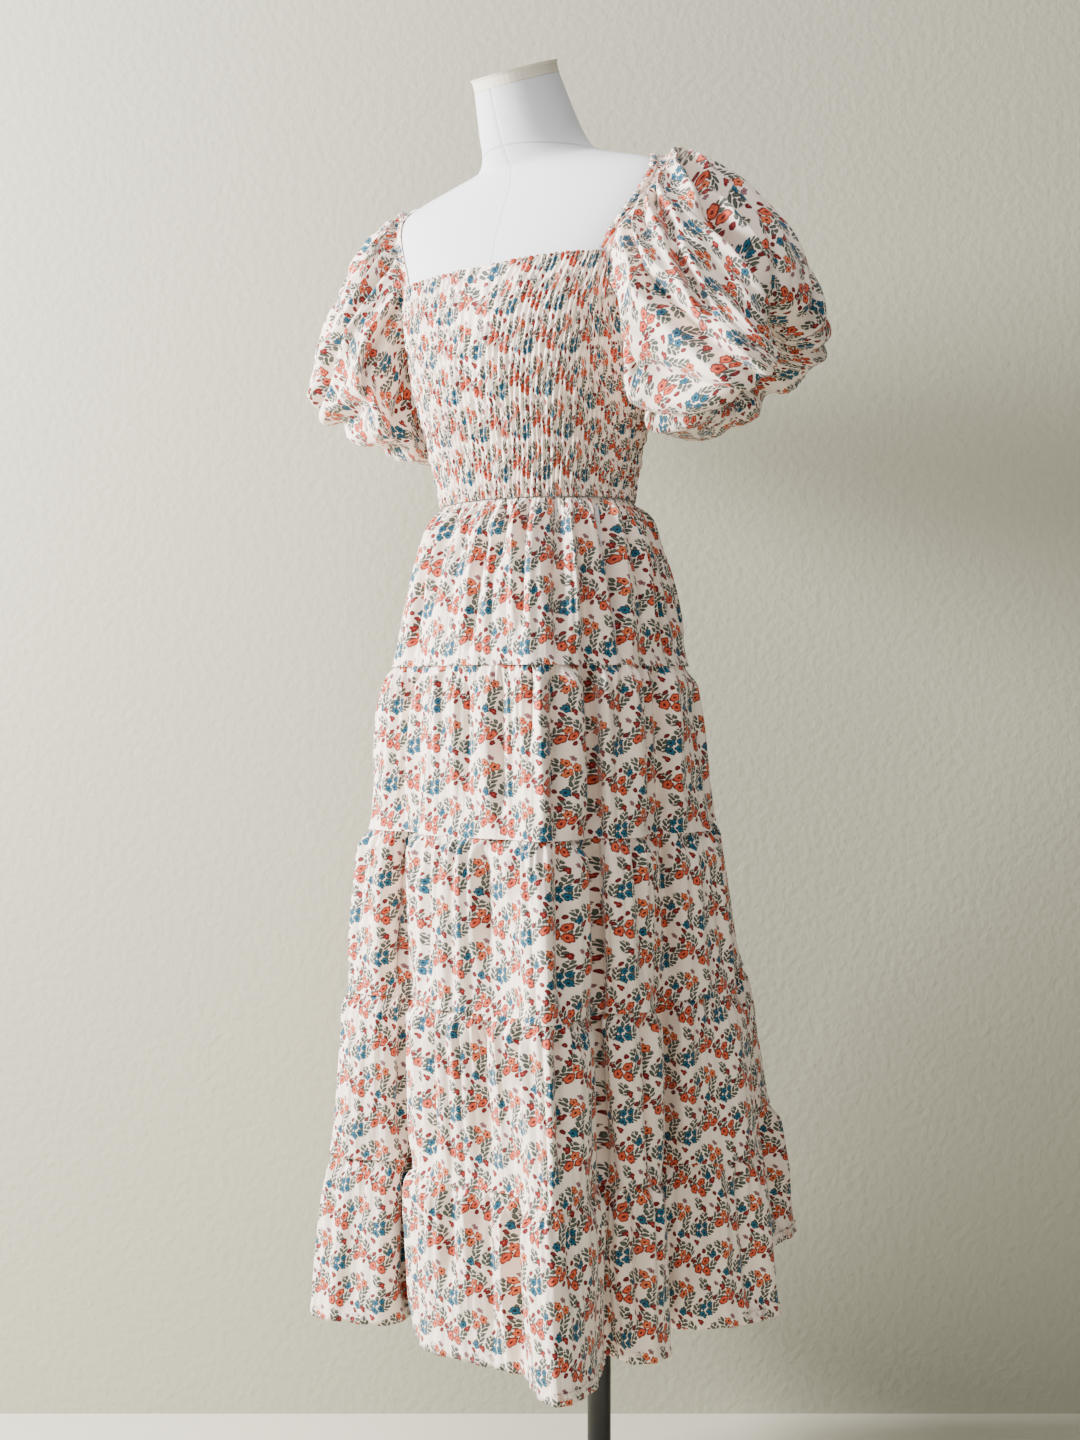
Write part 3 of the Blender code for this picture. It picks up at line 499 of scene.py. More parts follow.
def makeCover():
    material, tree, shader = newMaterial("formJersey")
    where = addNode(tree, "ShaderNodeTexCoord").outputs["Object"]
    weave = addNode(tree, "ShaderNodeGroup", {"node_tree": weaveGroup}, {"Vector": where, "Thread Scale": 260.0})
    patch = addNode(tree, "ShaderNodeTexNoise", None, {"Vector": where, "Scale": 9.0, "Detail": 3.0})
    tone = mixColour(tree, patch.outputs["Fac"], srgb(208, 210, 217), srgb(219, 221, 228))
    place = addNode(tree, "ShaderNodeSeparateXYZ", None, {0: where})
    middle = math1(tree, "ABSOLUTE", math1(tree, "SUBTRACT", place.outputs["X"], dress["x"]))
    behind = math1(tree, "MULTIPLY", math1(tree, "GREATER_THAN", place.outputs["Y"], dress["y"]), 1.0)
    ring = math1(tree, "ABSOLUTE", math1(tree, "SUBTRACT", place.outputs["Z"], form["neckSeam"]))
    nearest = math1(tree, "MINIMUM", math1(tree, "ADD", middle, behind), ring)
    seam = math1(tree, "MULTIPLY", math1(tree, "SUBTRACT", 0.0013, nearest), 1500.0, clamp=True)
    seamed = mixColour(tree, math1(tree, "MULTIPLY", seam, 0.55), tone, srgb(150, 152, 160))
    tree.links.new(seamed, shader.inputs["Base Color"])
    shader.inputs["Roughness"].default_value = 0.92
    shader.inputs["Sheen Weight"].default_value = 0.2
    bump = addNode(tree, "ShaderNodeBump", None, {"Height": weave.outputs["Height"], "Strength": 0.3, "Distance": 0.0004})
    tree.links.new(bump.outputs[0], shader.inputs["Normal"])
    return material


def makePaint(name, low, high, roughness):
    material, tree, shader = newMaterial(name)
    where = addNode(tree, "ShaderNodeTexCoord").outputs["Object"]
    dust = addNode(tree, "ShaderNodeTexNoise", None, {"Vector": where, "Scale": 35.0, "Detail": 5.0})
    tree.links.new(mixColour(tree, dust.outputs["Fac"], low, high), shader.inputs["Base Color"])
    rough = math1(tree, "MULTIPLY_ADD", dust.outputs["Fac"], 0.2, roughness - 0.1)
    tree.links.new(rough, shader.inputs["Roughness"])
    return material


cottonMaterial = makeCotton()
coverMaterial = makeCover()
trimMaterial = makePaint("capTrim", srgb(216, 208, 192), srgb(228, 221, 206), 0.75)
standMaterial = makePaint("standPaint", srgb(16, 16, 18), srgb(30, 30, 32), 0.42)
print("stage: materials")


# Form and stand
def makeForm():
    turns = [2 * math.pi * k / form["columns"] for k in range(form["columns"])]
    low, high = formRows[0][0], formRows[-1][0]
    rows = []
    for r in range(form["rows"] + 1):
        height = low + (high - low) * r / form["rows"]
        pressed = smoothStep(dress["waist"], dress["waist"] + 0.01, height) * (1 - smoothStep(dress["neckline"] - 0.012, dress["neckline"] - 0.002, height))
        row = []
        for turn in turns:
            frontSeam = math.exp(-((math.sin(turn) * 0.1 / 0.0022) ** 2)) if math.cos(turn) > 0 else 0.0
            ringSeam = math.exp(-(((height - form["neckSeam"]) / 0.0022) ** 2))
            depth = form["inset"] * pressed + form["seamDepth"] * max(frontSeam, ringSeam)
            row.append(formPoint(turn, height) - formNormal(turn, height) * depth)
        rows.append(row)
    middleLow = sum(rows[0], Vector()) / len(rows[0])
    middleHigh = sum(rows[-1], Vector()) / len(rows[-1])
    rows = [[middleLow.copy() for _ in turns]] + rows + [[middleHigh.copy() for _ in turns]]
    body = clothMesh("formBody", rows, True, [0.0] * (len(turns) + 1), [0.0] * len(rows), coverMaterial)
    body.data.set_sharp_from_angle(angle=math.radians(50))
    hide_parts("form_torso")


def makeStandPieces():
    for name, node, radius, low, high, edge in (
        ("standBase", "base_plate", 0.190, 0.0, 0.010, 0.003),
        ("standPole", "stand_pole", 0.014, 0.0103, 0.9194, 0.0006),
        ("poleCollar", "pole_collar", 0.033, 0.9197, 0.9497, 0.003),
    ):
        bpy.ops.mesh.primitive_cylinder_add(vertices=96, radius=radius, depth=high - low, location=(0, 0, (low + high) / 2))
        piece = bpy.context.object
        piece.name = name
        bpy.ops.object.transform_apply(location=True, rotation=True, scale=True)
        bevel = piece.modifiers.new("softEdge", "BEVEL")
        bevel.width = edge
        bevel.segments = 4
        bevel.limit_method = "ANGLE"
        bpy.ops.object.modifier_apply(modifier="softEdge")
        bpy.ops.object.shade_smooth_by_angle(angle=math.radians(35))
        piece.data.materials.append(standMaterial)
        piece.select_set(False)
        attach(piece, "root")
        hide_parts(node)


makeForm()
makeStandPieces()
bpy.data.objects["neck_cap"].data.materials.clear()
bpy.data.objects["neck_cap"].data.materials.append(trimMaterial)
print("stage: form and stand")


# Bodice
bodice = {
    "puckers": 132, "perPucker": 6, "elasticPitch": 0.0132, "rowsPerElastic": 6,
    "clearance": 0.0012, "pucker": 0.0062, "pinch": 0.30, "ruffle": 0.0062, "fullness": 2.2, "cutArea": 0.135,
}


def bodiceTop(turn):
    fromSide = math.degrees(math.acos(min(abs(math.sin(turn)), 1.0)))
    part = min(fromSide / (90.0 - dress["cornerTurn"]), 1.0)
    return dress["underarm"] + (dress["neckline"] - dress["underarm"]) * part**2


def makeBodice(name, node, middleTurn):
    columns = bodice["puckers"] * bodice["perPucker"] // 2
    rowsTall = (dress["neckline"] - dress["waist"]) / bodice["elasticPitch"]
    rowCount = int(rowsTall * bodice["rowsPerElastic"])
    first = middleTurn - math.pi / 2 + 0.0012
    last = middleTurn + math.pi / 2 - 0.0012
    rows = []
    for r in range(rowCount + 1):
        share = r / rowCount
        row = []
        for k in range(columns + 1):
            turn = first + (last - first) * k / columns
            top = bodiceTop(turn)
            height = dress["waist"] + 0.0004 + (top - dress["waist"] - 0.0004) * share
            rib = turn / (2 * math.pi) * bodice["puckers"]
            wander = noise.noise(Vector((rib * 0.35, height * 14.0, 1.7))) * 0.50
            wander += noise.noise(Vector((rib * 0.9, height * 60.0, 5.1))) * 0.12
            fold = abs(math.sin(math.pi * (rib + wander))) ** 0.52
            between = abs(math.sin(math.pi * (height - dress["waist"]) / bodice["elasticPitch"])) ** 0.7
            free = smoothStep(top - bodice["ruffle"], top - 0.001, height)
            size = bodice["pucker"] * (1 - bodice["pinch"] * (1 - between) * (1 - free))
            size *= 0.78 + 0.5 * noise.noise(Vector((rib * 0.7, height * 60.0, 9.3)))
            lift = bodice["clearance"] + fold * size + free * 0.0012
            row.append(formPoint(turn, height) + formNormal(turn, height) * lift)
        rows.append(row)
    width = 0.435 * bodice["fullness"]
    across = [0.9 * middleTurn + width * k / columns for k in range(columns + 1)]
    along = [dress["waist"] + (dress["neckline"] - dress["waist"]) * r / rowCount for r in range(rowCount + 1)]
    panel = clothMesh(name, rows, False, across, along, cottonMaterial)
    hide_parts(node)
    return panel


makeBodice("bodiceFront", "bodice_front", 0.0)
makeBodice("bodiceBack", "bodice_back", math.pi)
print("stage: bodice")


# Skirt
skirtRows = [
    # height, half width, half depth, middle's place front to back
    (0.300, 0.243, 0.243, 0.0270), (0.494, 0.227, 0.227, 0.0220), (0.681, 0.213, 0.211, 0.0165),
    (0.865, 0.195, 0.189, 0.0110), (1.047, 0.176, 0.163, 0.0060), (1.147, 0.157, 0.138, 0.0030),
    (1.205, 0.140, 0.114, 0.0005), (1.243, 0.1255, 0.0935, 0.0000),
]
longFolds = [
    # share of the waist, then left, crest, right and valley as degrees and reach, then lift
    (42, -8, 0.207, 6, 0.204, 22, 0.213, 31, 0.222, 0.000),
    (30, 36, 0.288, 40, 0.303, 49, 0.262, 59, 0.166, 0.000),
    (30, 60, 0.214, 68, 0.224, 77, 0.212, 92, 0.138, 0.003),
    (44, 97, 0.196, 112, 0.262, 126, 0.272, 138, 0.200, 0.004),
    (36, 144, 0.286, 153, 0.356, 166, 0.298, 177, 0.185, 0.040),
    (34, 184, 0.245, 195, 0.268, 206, 0.245, 213, 0.178, 0.008),
    (36, 220, 0.262, 230, 0.300, 241, 0.268, 249, 0.172, 0.012),
    (34, 256, 0.248, 267, 0.276, 279, 0.252, 286, 0.186, 0.006),
    (34, 291, 0.240, 298, 0.262, 304, 0.240, 308, 0.196, 0.004),
    (40, 312, 0.262, 318, 0.288, 333, 0.194, 316, 0.158, 0.000),
]
skirt = {
    "firstShare": -20.0, "columnsPerFold": 12, "finer": 8, "rowsPerTier": 40, "growth": 1.25,
    "puff": 0.0056, "fineGather": 0.0044, "broadGather": 0.0094, "softFold": 0.0105, "tuck": 0.0020, "flare": 0.0014,
    "finePitch": 110.0, "broadPitch": 46.0, "softPitch": 19.0, "fullness": 1.16, "hemTurn": 0.012,
}


def hemKnots():
    knots = []
    share = skirt["firstShare"]
    for fold in longFolds:
        for k in range(4):
            turn = math.radians(fold[1 + 2 * k])
            reach = fold[2 + 2 * k]
            lift = fold[9] * (1.0, 1.0, 1.0, 0.5)[k]
            waistTurn = math.radians(share + fold[0] * (k + 1) / 4)
            knots.append((waistTurn, Vector((math.sin(turn) * reach, -math.cos(turn) * reach, lift))))
        share += fold[0]
    return knots


def skirtColumns():
    knots = hemKnots()
    count = len(knots)
    steps = skirt["columnsPerFold"] // 4
    turns, outline = [], []
    for k in range(count):
        turn, place = knots[k]
        nextTurn, nextPlace = knots[(k + 1) % count]
        nextTurn += 2 * math.pi if nextTurn < turn else 0.0
        for j in range(steps):
            turns.append(turn + (nextTurn - turn) * j / steps)
            outline.append(spline(knots[k - 1][1], place, nextPlace, knots[(k + 2) % count][1], j / steps))
    for _ in range(2):
        outline = [outline[k - 1] * 0.25 + outline[k] * 0.5 + outline[(k + 1) % len(outline)] * 0.25
                   for k in range(len(outline))]
    hem = skirtRows[0]
    shifts = [place - Vector((hem[1] * math.sin(t), -hem[2] * math.cos(t), 0.0)) for t, place in zip(turns, outline)]
    fine = []
    count = len(turns)
    for k in range(count):
        nextTurn = turns[(k + 1) % count] + (2 * math.pi if k == count - 1 else 0.0)
        for j in range(skirt["finer"]):
            part = j / skirt["finer"]
            shift = spline(shifts[k - 1], shifts[k], shifts[(k + 1) % count], shifts[(k + 2) % count], part)
            fine.append((turns[k] + (nextTurn - turns[k]) * part, shift))
    return fine


def skirtRing(columns, height):
    halfWidth, halfDepth, middleY = rowAt(skirtRows, height)
    fall = (dress["waist"] - height) / (dress["waist"] - dress["hem"])
    growth = max(fall, 0.0) ** skirt["growth"]
    ring = []
    for turn, shift in columns:
        base = Vector((halfWidth * math.sin(turn), middleY - halfDepth * math.cos(turn), height))
        ring.append(base + Vector((shift.x, shift.y, shift.z * growth)) * growth)
    return ring


def ringNormals(ring, reach=4):
    count = len(ring)
    normals = []
    for k in range(count):
        along = ring[(k + reach) % count] - ring[k - reach]
        normals.append(Vector((along.y, -along.x, 0.0)).normalized())
    return normals


def clothLengths(ring):
    lengths = [0.0]
    for k in range(len(ring)):
        lengths.append(lengths[-1] + (ring[(k + 1) % len(ring)] - ring[k]).length)
    return lengths


skirtCreases = [
    # tier, degrees round the waist, from and to as shares of the tier's height, depth, half width, lean in degrees
    (1, 332, 0.04, 0.95, 0.007, 0.006, -2), (1, 345, 0.06, 0.70, 0.006, 0.006, -2), (1, 8, 0.20, 0.95, 0.007, 0.006, -3),
    (1, 16, 0.03, 0.45, 0.009, 0.005, 0), (1, 27, 0.05, 0.85, 0.006, 0.005, 1), (1, 35, 0.05, 0.40, 0.006, 0.005, 0),
    (1, 41, 0.03, 0.98, 0.012, 0.007, 2), (1, 54, 0.10, 0.95, 0.007, 0.006, 1), (1, 67, 0.04, 0.98, 0.013, 0.008, 4),
    (1, 84, 0.08, 0.80, 0.007, 0.006, 2), (1, 97, 0.05, 0.95, 0.008, 0.006, 1),
    (2, 331, 0.05, 0.98, 0.010, 0.012, 0), (2, 338, 0.02, 0.80, 0.010, 0.006, -3), (2, 6, 0.10, 0.80, 0.006, 0.007, 0),
    (2, 19, 0.04, 0.90, 0.008, 0.006, 0), (2, 31, 0.02, 0.50, 0.008, 0.006, 0), (2, 40, 0.02, 0.98, 0.012, 0.007, 1),
    (2, 54, 0.02, 0.98, 0.016, 0.009, 0), (2, 66, 0.06, 0.60, 0.006, 0.006, 0), (2, 80, 0.04, 0.95, 0.010, 0.011, 2),
    (2, 89, 0.02, 0.98, 0.012, 0.008, 0),
    (3, 332, 0.02, 0.98, 0.012, 0.009, 0), (3, 352, 0.04, 0.90, 0.009, 0.008, 0), (3, 13, 0.06, 0.70, 0.006, 0.007, 0),
    (3, 26, 0.03, 0.45, 0.008, 0.006, 1), (3, 41, 0.03, 0.98, 0.011, 0.008, 0), (3, 53, 0.02, 0.98, 0.014, 0.012, 0),
    (3, 69, 0.05, 0.90, 0.008, 0.008, 1), (3, 88, 0.02, 0.98, 0.012, 0.008, 0), (3, 112, 0.04, 0.90, 0.009, 0.009, 1),
    (4, 333, 0.03, 0.90, 0.009, 0.009, 0), (4, 353, 0.02, 0.98, 0.012, 0.009, 0), (4, 11, 0.06, 0.98, 0.009, 0.009, 1),
    (4, 24, 0.03, 0.50, 0.008, 0.007, 0), (4, 39, 0.03, 0.85, 0.009, 0.007, 1), (4, 53, 0.02, 0.98, 0.012, 0.009, 0),
    (4, 69, 0.04, 0.98, 0.009, 0.008, 1), (4, 86, 0.02, 0.98, 0.011, 0.009, 0), (4, 116, 0.05, 0.98, 0.009, 0.010, 2),
    (5, 336, 0.05, 0.98, 0.010, 0.011, 0), (5, 1, 0.03, 0.60, 0.008, 0.008, 0), (5, 10, 0.04, 0.98, 0.009, 0.010, 0),
    (5, 21, 0.03, 0.80, 0.009, 0.009, 1), (5, 40, 0.03, 0.55, 0.008, 0.008, 0), (5, 61, 0.04, 0.90, 0.009, 0.009, 0),
    (5, 93, 0.04, 0.70, 0.009, 0.009, 0), (5, 101, 0.04, 0.98, 0.009, 0.010, 1), (5, 138, 0.03, 0.98, 0.010, 0.010, 0),
]
# the far side falls in folds of the same kind, unevenly spaced
for tierNumber in range(1, 6):
    for step in range(9):
        turnThere = 122.0 + step * 23.0 + 5.0 * math.sin(2.7 * step + 1.9 * tierNumber)
        length = 0.72 + 0.25 * math.sin(1.3 * step + tierNumber)
        depth = 0.0095 + 0.003 * math.sin(3.1 * step + 0.7 * tierNumber)
        skirtCreases.append((tierNumber, turnThere, 0.03, length, depth, 0.008, math.sin(step)))


def handCreases(degrees, reach, fall, drop, tier):
    depth = 0.0
    share = fall / drop
    for number, turn, start, end, size, width, lean in skirtCreases:
        if number != tier + 1 or share < start - 0.06 or share > end + 0.12:
            continue
        away = (degrees - turn - lean * share + 180.0) % 360.0 - 180.0
        distance = math.radians(away) * reach / width
        if abs(distance) > 4.5:
            continue
        fade = smoothStep(start - 0.05, start + 0.10, share) * (1.0 - smoothStep(end - 0.25, end + 0.10, share))
        trough = math.exp(-abs(distance) ** 1.5)
        banks = math.exp(-((abs(distance) - 2.0) ** 2) * 0.9)
        depth += 1.40 * size * fade * (trough - 0.40 * banks)
    return depth


def tierCrease(place, fall, drop, tier):
    # place is the cloth's metres round, fall the metres below the gathered seam
    seed = 11.0 * tier + 3.0
    sway = place + 0.008 * noise.noise(Vector((place * 6.0, fall * 5.0, seed)))
    fine = creased(noise.noise(Vector((sway * skirt["finePitch"], fall * 5.0, seed))))
    broad = creased(noise.noise(Vector((sway * skirt["broadPitch"], fall * 2.4, seed + 2.0))))
    soft = noise.noise(Vector((sway * skirt["softPitch"], fall * 1.3, seed + 4.0)))
    start = smoothStep(0.0, 0.010, fall)
    end = 1.0 - smoothStep(drop - 0.03, drop, fall) * 0.5
    fineSize = skirt["fineGather"] * (0.12 + math.exp(-fall / 0.030)) * (0.35 + 0.65 * start)
    broadSize = skirt["broadGather"] * (0.28 + 0.72 * math.exp(-fall / 0.075)) * start
    softSize = skirt["softFold"] * smoothStep(0.005, 0.06, fall) * end
    tuck = skirt["tuck"] * (1.0 - smoothStep(0.0, 0.008, fall)) - skirt["flare"] * smoothStep(drop - 0.010, drop, fall)
    return fine * fineSize + broad * broadSize + soft * softSize - tuck


def makeTier(columns, tier):
    drop = (dress["waist"] - dress["hem"]) / dress["tiers"]
    top = dress["waist"] - drop * tier
    count = skirt["rowsPerTier"]
    last = tier == dress["tiers"] - 1
    lengths = [value * skirt["fullness"] for value in clothLengths(skirtRing(columns, top - drop))]
    rows = []
    falls = []
    for r in range(count + 1):
        share = (r / count) ** 1.35  # rows lie closer under the gathered seam
        falls.append(drop * share)
    for fall in reversed(falls):
        height = top - fall
        ring = skirtRing(columns, height)
        normals = ringNormals(ring)
        puff = skirt["puff"] * smoothStep(-0.002, 0.020, fall) * (1.0 - smoothStep(0.02, drop, fall))
        row = []
        for k, (point, normal) in enumerate(zip(ring, normals)):
            size = puff + tierCrease(lengths[k], fall, drop, tier)
            size -= handCreases(math.degrees(columns[k][0]), point.xy.length, fall, drop, tier)
            row.append(point + normal * (size - 0.001))
        rows.append(row)
    along = [tier * 0.37 - fall for fall in reversed(falls)]
    if last:
        normals = ringNormals(rows[0])
        inside = [[p - n * 0.0016 + Vector((0, 0, rise)) for p, n in zip(rows[0], normals)]
                  for rise in (skirt["hemTurn"], 0.0006)]
        rows = inside + rows
        along = [along[0] + skirt["hemTurn"], along[0] + 0.0004] + along
    return rows, lengths, along


pocket = {"bottom": 1.080, "top": 1.200, "lip": 0.0050, "inward": 0.0034, "columns": 6, "half": 16, "behind": 0.0044}


def openPocket(picked, rows, left, name):
    # the front edge of the left seam stands out a little, and the back edge lies in
    for pickedRow, row in zip(picked, rows):
        normal = ringNormals(row)[left]
        height = row[left].z
        window = smoothStep(pocket["bottom"], pocket["bottom"] + 0.02, height) * (1 - smoothStep(pocket["top"] - 0.02, pocket["top"], height))
        for j in range(pocket["columns"] * 3):
            near = math.exp(-((j / pocket["columns"]) ** 2)) * window
            if name.endswith("Front"):
                pickedRow[-1 - j] = pickedRow[-1 - j] + normal * (pocket["lip"] * near)
            else:
                pickedRow[j] = pickedRow[j] - normal * (pocket["inward"] * near)


def makePocket(rows, lengths, along, left):
    picked, heights = [], []
    for row, place in zip(rows, along):
        if pocket["bottom"] - 0.004 < row[left].z < pocket["top"] + 0.004:
            normals = ringNormals(row)
            span = range(left - pocket["half"], left + pocket["half"] + 1)
            picked.append([row[k] - normals[k] * pocket["behind"] for k in span])
            heights.append(place + 0.07)
    across = [lengths[k] + 0.3 for k in range(left - pocket["half"], left + pocket["half"] + 1)]
    facing = clothMesh("pocketFacing", picked, False, across, heights, cottonMaterial)
    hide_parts("pocket_left")


def makeSkirt():
    columns = skirtColumns()
    half = len(columns)
    for tier in range(dress["tiers"]):
        rows, lengths, along = makeTier(columns, tier)
        if tier:
            piece = clothMesh(f"skirtTier{tier + 1}", rows, True, lengths, along, cottonMaterial)
            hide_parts(f"skirt_tier_{tier + 1}")
            continue
        left = min(range(half), key=lambda k: abs(columns[k][0] - math.radians(90)))
        right = min(range(half), key=lambda k: abs(columns[k][0] - math.radians(270)))
        for name, node, first, last in (("skirtTier1Back", "skirt_tier_1_back", left, right),
                                        ("skirtTier1Front", "skirt_tier_1_front", right, left + half)):
            picked = [[row[k % half] for k in range(first, last + 1)] for row in rows]
            openPocket(picked, rows, left, name)
            across = [lengths[k % half] + (lengths[-1] if k >= half else 0.0) for k in range(first, last + 1)]
            piece = clothMesh(name, picked, False, across, along, cottonMaterial)
            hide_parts(node)
        makePocket(rows, lengths, along, left)


makeSkirt()
print("stage: skirt")


# Sleeves
sleeveRows = [
    # middle x, y, z, tilt, up, down, forward, backward, fold
    (0.200, 0.004, 1.488, 8, 0.134, 0.136, 0.116, 0.112, 0.4),
    (0.222, 0.014, 1.464, 18, 0.126, 0.155, 0.134, 0.134, 1.1),
    (0.258, 0.022, 1.436, 31, 0.098, 0.148, 0.130, 0.140, 1.1),
    (0.284, 0.018, 1.402, 42, 0.068, 0.110, 0.112, 0.120, 0.8),
    (0.268, 0.018, 1.398, 46, 0.044, 0.070, 0.072, 0.078, 0.4),
    (0.248, 0.018, 1.416, 46, 0.040, 0.046, 0.048, 0.050, 0.0),
]
sleeve = {
    "shoulder": 1.616, "cornerStep": 0.0028, "step": 0.0021, "lift": 0.0027, "stand": 0.010, "turn": 0.010,
    "frontSlack": 0.22, "slackTurn": -60.0, "overColumns": 232, "underColumns": 168, "rowsPerStep": 10,
    "puckers": 44, "cutWidth": 0.94, "cutLength": 0.46, "cutArea": 0.235,
}


def shoulderEdge(part):
    corner = math.radians(dress["cornerTurn"])
    turn = corner + (math.pi - 2 * corner) * part
    start = dress["neckline"] + sleeve["cornerStep"]
    height = start + (sleeve["shoulder"] - start) * max(math.sin(math.pi * part), 0.0) ** 0.8
    return formPoint(turn, height), formNormal(turn, height)


def underarmEdge(part):
    corner = math.radians(dress["cornerTurn"])
    turn = math.pi - corner - (math.pi - 2 * corner) * part
    height = bodiceTop(turn)
    return formPoint(turn, height), formNormal(turn, height)


def edgePoints(curve, count, mainWay, cornerWay, wholeSpan):
    found = []
    for k in range(count):
        part = k / wholeSpan
        place, normal = curve(part)
        way = mainWay + cornerWay * abs(2.0 * part - 1.0) ** 3
        found.append((place, normal, (way - normal * way.dot(normal)).normalized()))
    return found


def balloonPoint(section, turn):
    x, y, z, tilt, rise, drop, forward, backward, _ = section
    lean = math.radians(tilt)
    up = Vector((math.sin(lean), 0.0, math.cos(lean)))
    side = backward if math.sin(turn) > 0 else forward
    upperFront = max(math.cos(turn - math.radians(sleeve["slackTurn"])), 0.0) ** 2
    reach = 1.0 - sleeve["frontSlack"] * upperFront
    height = (rise if math.cos(turn) > 0 else drop) * math.cos(turn)
    return Vector((x, y, z)) + (up * height + Vector((0.0, math.sin(turn) * side, 0.0))) * reach


sleeveLobes = [
    # middle in degrees, spread in degrees, then how far it hangs out at the last three rings in metres
    (-84, 46, 0.014, 0.048, 0.080), (-128, 34, 0.006, 0.030, 0.040), (78, 42, 0.000, 0.014, 0.026),
    (170, 30, 0.000, 0.012, 0.030), (-14, 18, 0.000, -0.024, -0.048),
]
sleeveCreases = [
    # degrees and share along the sleeve at the start, then at the end, depth and width in metres
    (-4, 0.30, -34, 0.59, 0.022, 0.009), (-34, 0.56, -28, 0.84, 0.030, 0.011), (-80, 0.20, -92, 0.56, 0.016, 0.009),
    (-92, 0.52, -108, 0.84, 0.017, 0.010), (-42, 0.28, -58, 0.52, 0.014, 0.008), (-58, 0.49, -92, 0.68, 0.015, 0.008),
    (-18, 0.40, -12, 0.72, 0.011, 0.009), (4, 0.34, -4, 0.72, 0.012, 0.010), (-62, 0.14, -70, 0.44, 0.010, 0.008),
    (-104, 0.12, -132, 0.52, 0.012, 0.010), (-60, 0.60, -66, 0.92, 0.009, 0.011), (-128, 0.48, -122, 0.86, 0.012, 0.011),
    (24, 0.10, 34, 0.62, 0.012, 0.011), (50, 0.10, 60, 0.66, 0.012, 0.012), (78, 0.10, 88, 0.64, 0.012, 0.011),
    (104, 0.12, 112, 0.72, 0.012, 0.012), (132, 0.18, 128, 0.78, 0.012, 0.012), (160, 0.28, 152, 0.84, 0.011, 0.012),
    (-158, 0.26, -150, 0.80, 0.012, 0.012), (36, 0.50, 26, 0.88, 0.013, 0.012), (72, 0.52, 66, 0.90, 0.012, 0.013),
    (118, 0.56, 124, 0.90, 0.012, 0.013),
]


def sleeveDepth(degrees, share):
    depth = 0.0
    for startTurn, startShare, endTurn, endShare, size, width in sleeveCreases:
        part = min(max((share - startShare) / (endShare - startShare), 0.0), 1.0)
        away = (degrees - (startTurn + (endTurn - startTurn) * part) + 180.0) % 360.0 - 180.0
        arc = math.radians(away) * 0.125
        past = (share - startShare - (endShare - startShare) * part) * 0.30
        distance = math.hypot(arc, past) / width
        fade = math.sin(math.pi * (0.12 + 0.76 * part))
        depth += size * fade * (math.exp(-distance * distance) - 0.42 * math.exp(-((distance - 1.9) ** 2) * 1.2))
    return depth


def sleeveSurface(droop):
    # droop is how far the lobes hang over the cuff: 1 on the left sleeve, less on the right
    over, under = sleeve["overColumns"], sleeve["underColumns"]
    edge = edgePoints(shoulderEdge, over, Vector((1, 0, 0)), Vector((0, 0, 1)), over)
    edge += edgePoints(underarmEdge, under, Vector((0, 0, 1)), Vector((1, 0, 0)), under)
    degrees = [-95 + 190 * k / over for k in range(over)] + [95 + 170 * k / under for k in range(under)]
    turns = [math.radians(value) for value in degrees]
    seam = [place + away * sleeve["step"] + normal * sleeve["lift"] for place, normal, away in edge]
    stand = [p + away * sleeve["stand"] + normal * sleeve["lift"] for p, (_, normal, away) in zip(seam, edge)]
    shoulder = []
    for start, turn, (_, normal, _) in zip(stand, turns, edge):
        reach = 0.15 + 0.15 * math.cos(turn)
        shoulder.append((start + normal * sleeve["turn"]).lerp(balloonPoint(sleeveRows[0], turn), reach))
    guides = [seam, stand, shoulder] + [[balloonPoint(section, turn) for turn in turns] for section in sleeveRows]
    hanging = Vector((0.90, -0.05, -0.42))
    for middle, spread, *reaches in sleeveLobes:
        for guide, reach in zip(guides[-4:-1], reaches):
            for k, degree in enumerate(degrees):
                away = (degree - middle + 180.0) % 360.0 - 180.0
                guide[k] = guide[k] + hanging * (reach * droop * math.exp(-((away / spread) ** 2)))
    count = len(guides)
    rows = []
    for g in range(count - 1):
        for j in range(sleeve["rowsPerStep"]):
            part = j / sleeve["rowsPerStep"]
            four = [guides[min(max(g + step, 0), count - 1)] for step in (-1, 0, 1, 2)]
            rows.append([spline(*points, part) for points in zip(*four)])
    rows.append(guides[-1])
    return rows, degrees


def surfaceNormals(rows):
    count = len(rows[0])
    normals = []
    for r, row in enumerate(rows):
        before, after = rows[max(r - 1, 0)], rows[min(r + 1, len(rows) - 1)]
        normals.append([(after[k] - before[k]).cross(row[(k + 2) % count] - row[k - 2]).normalized() for k in range(count)])
    return normals


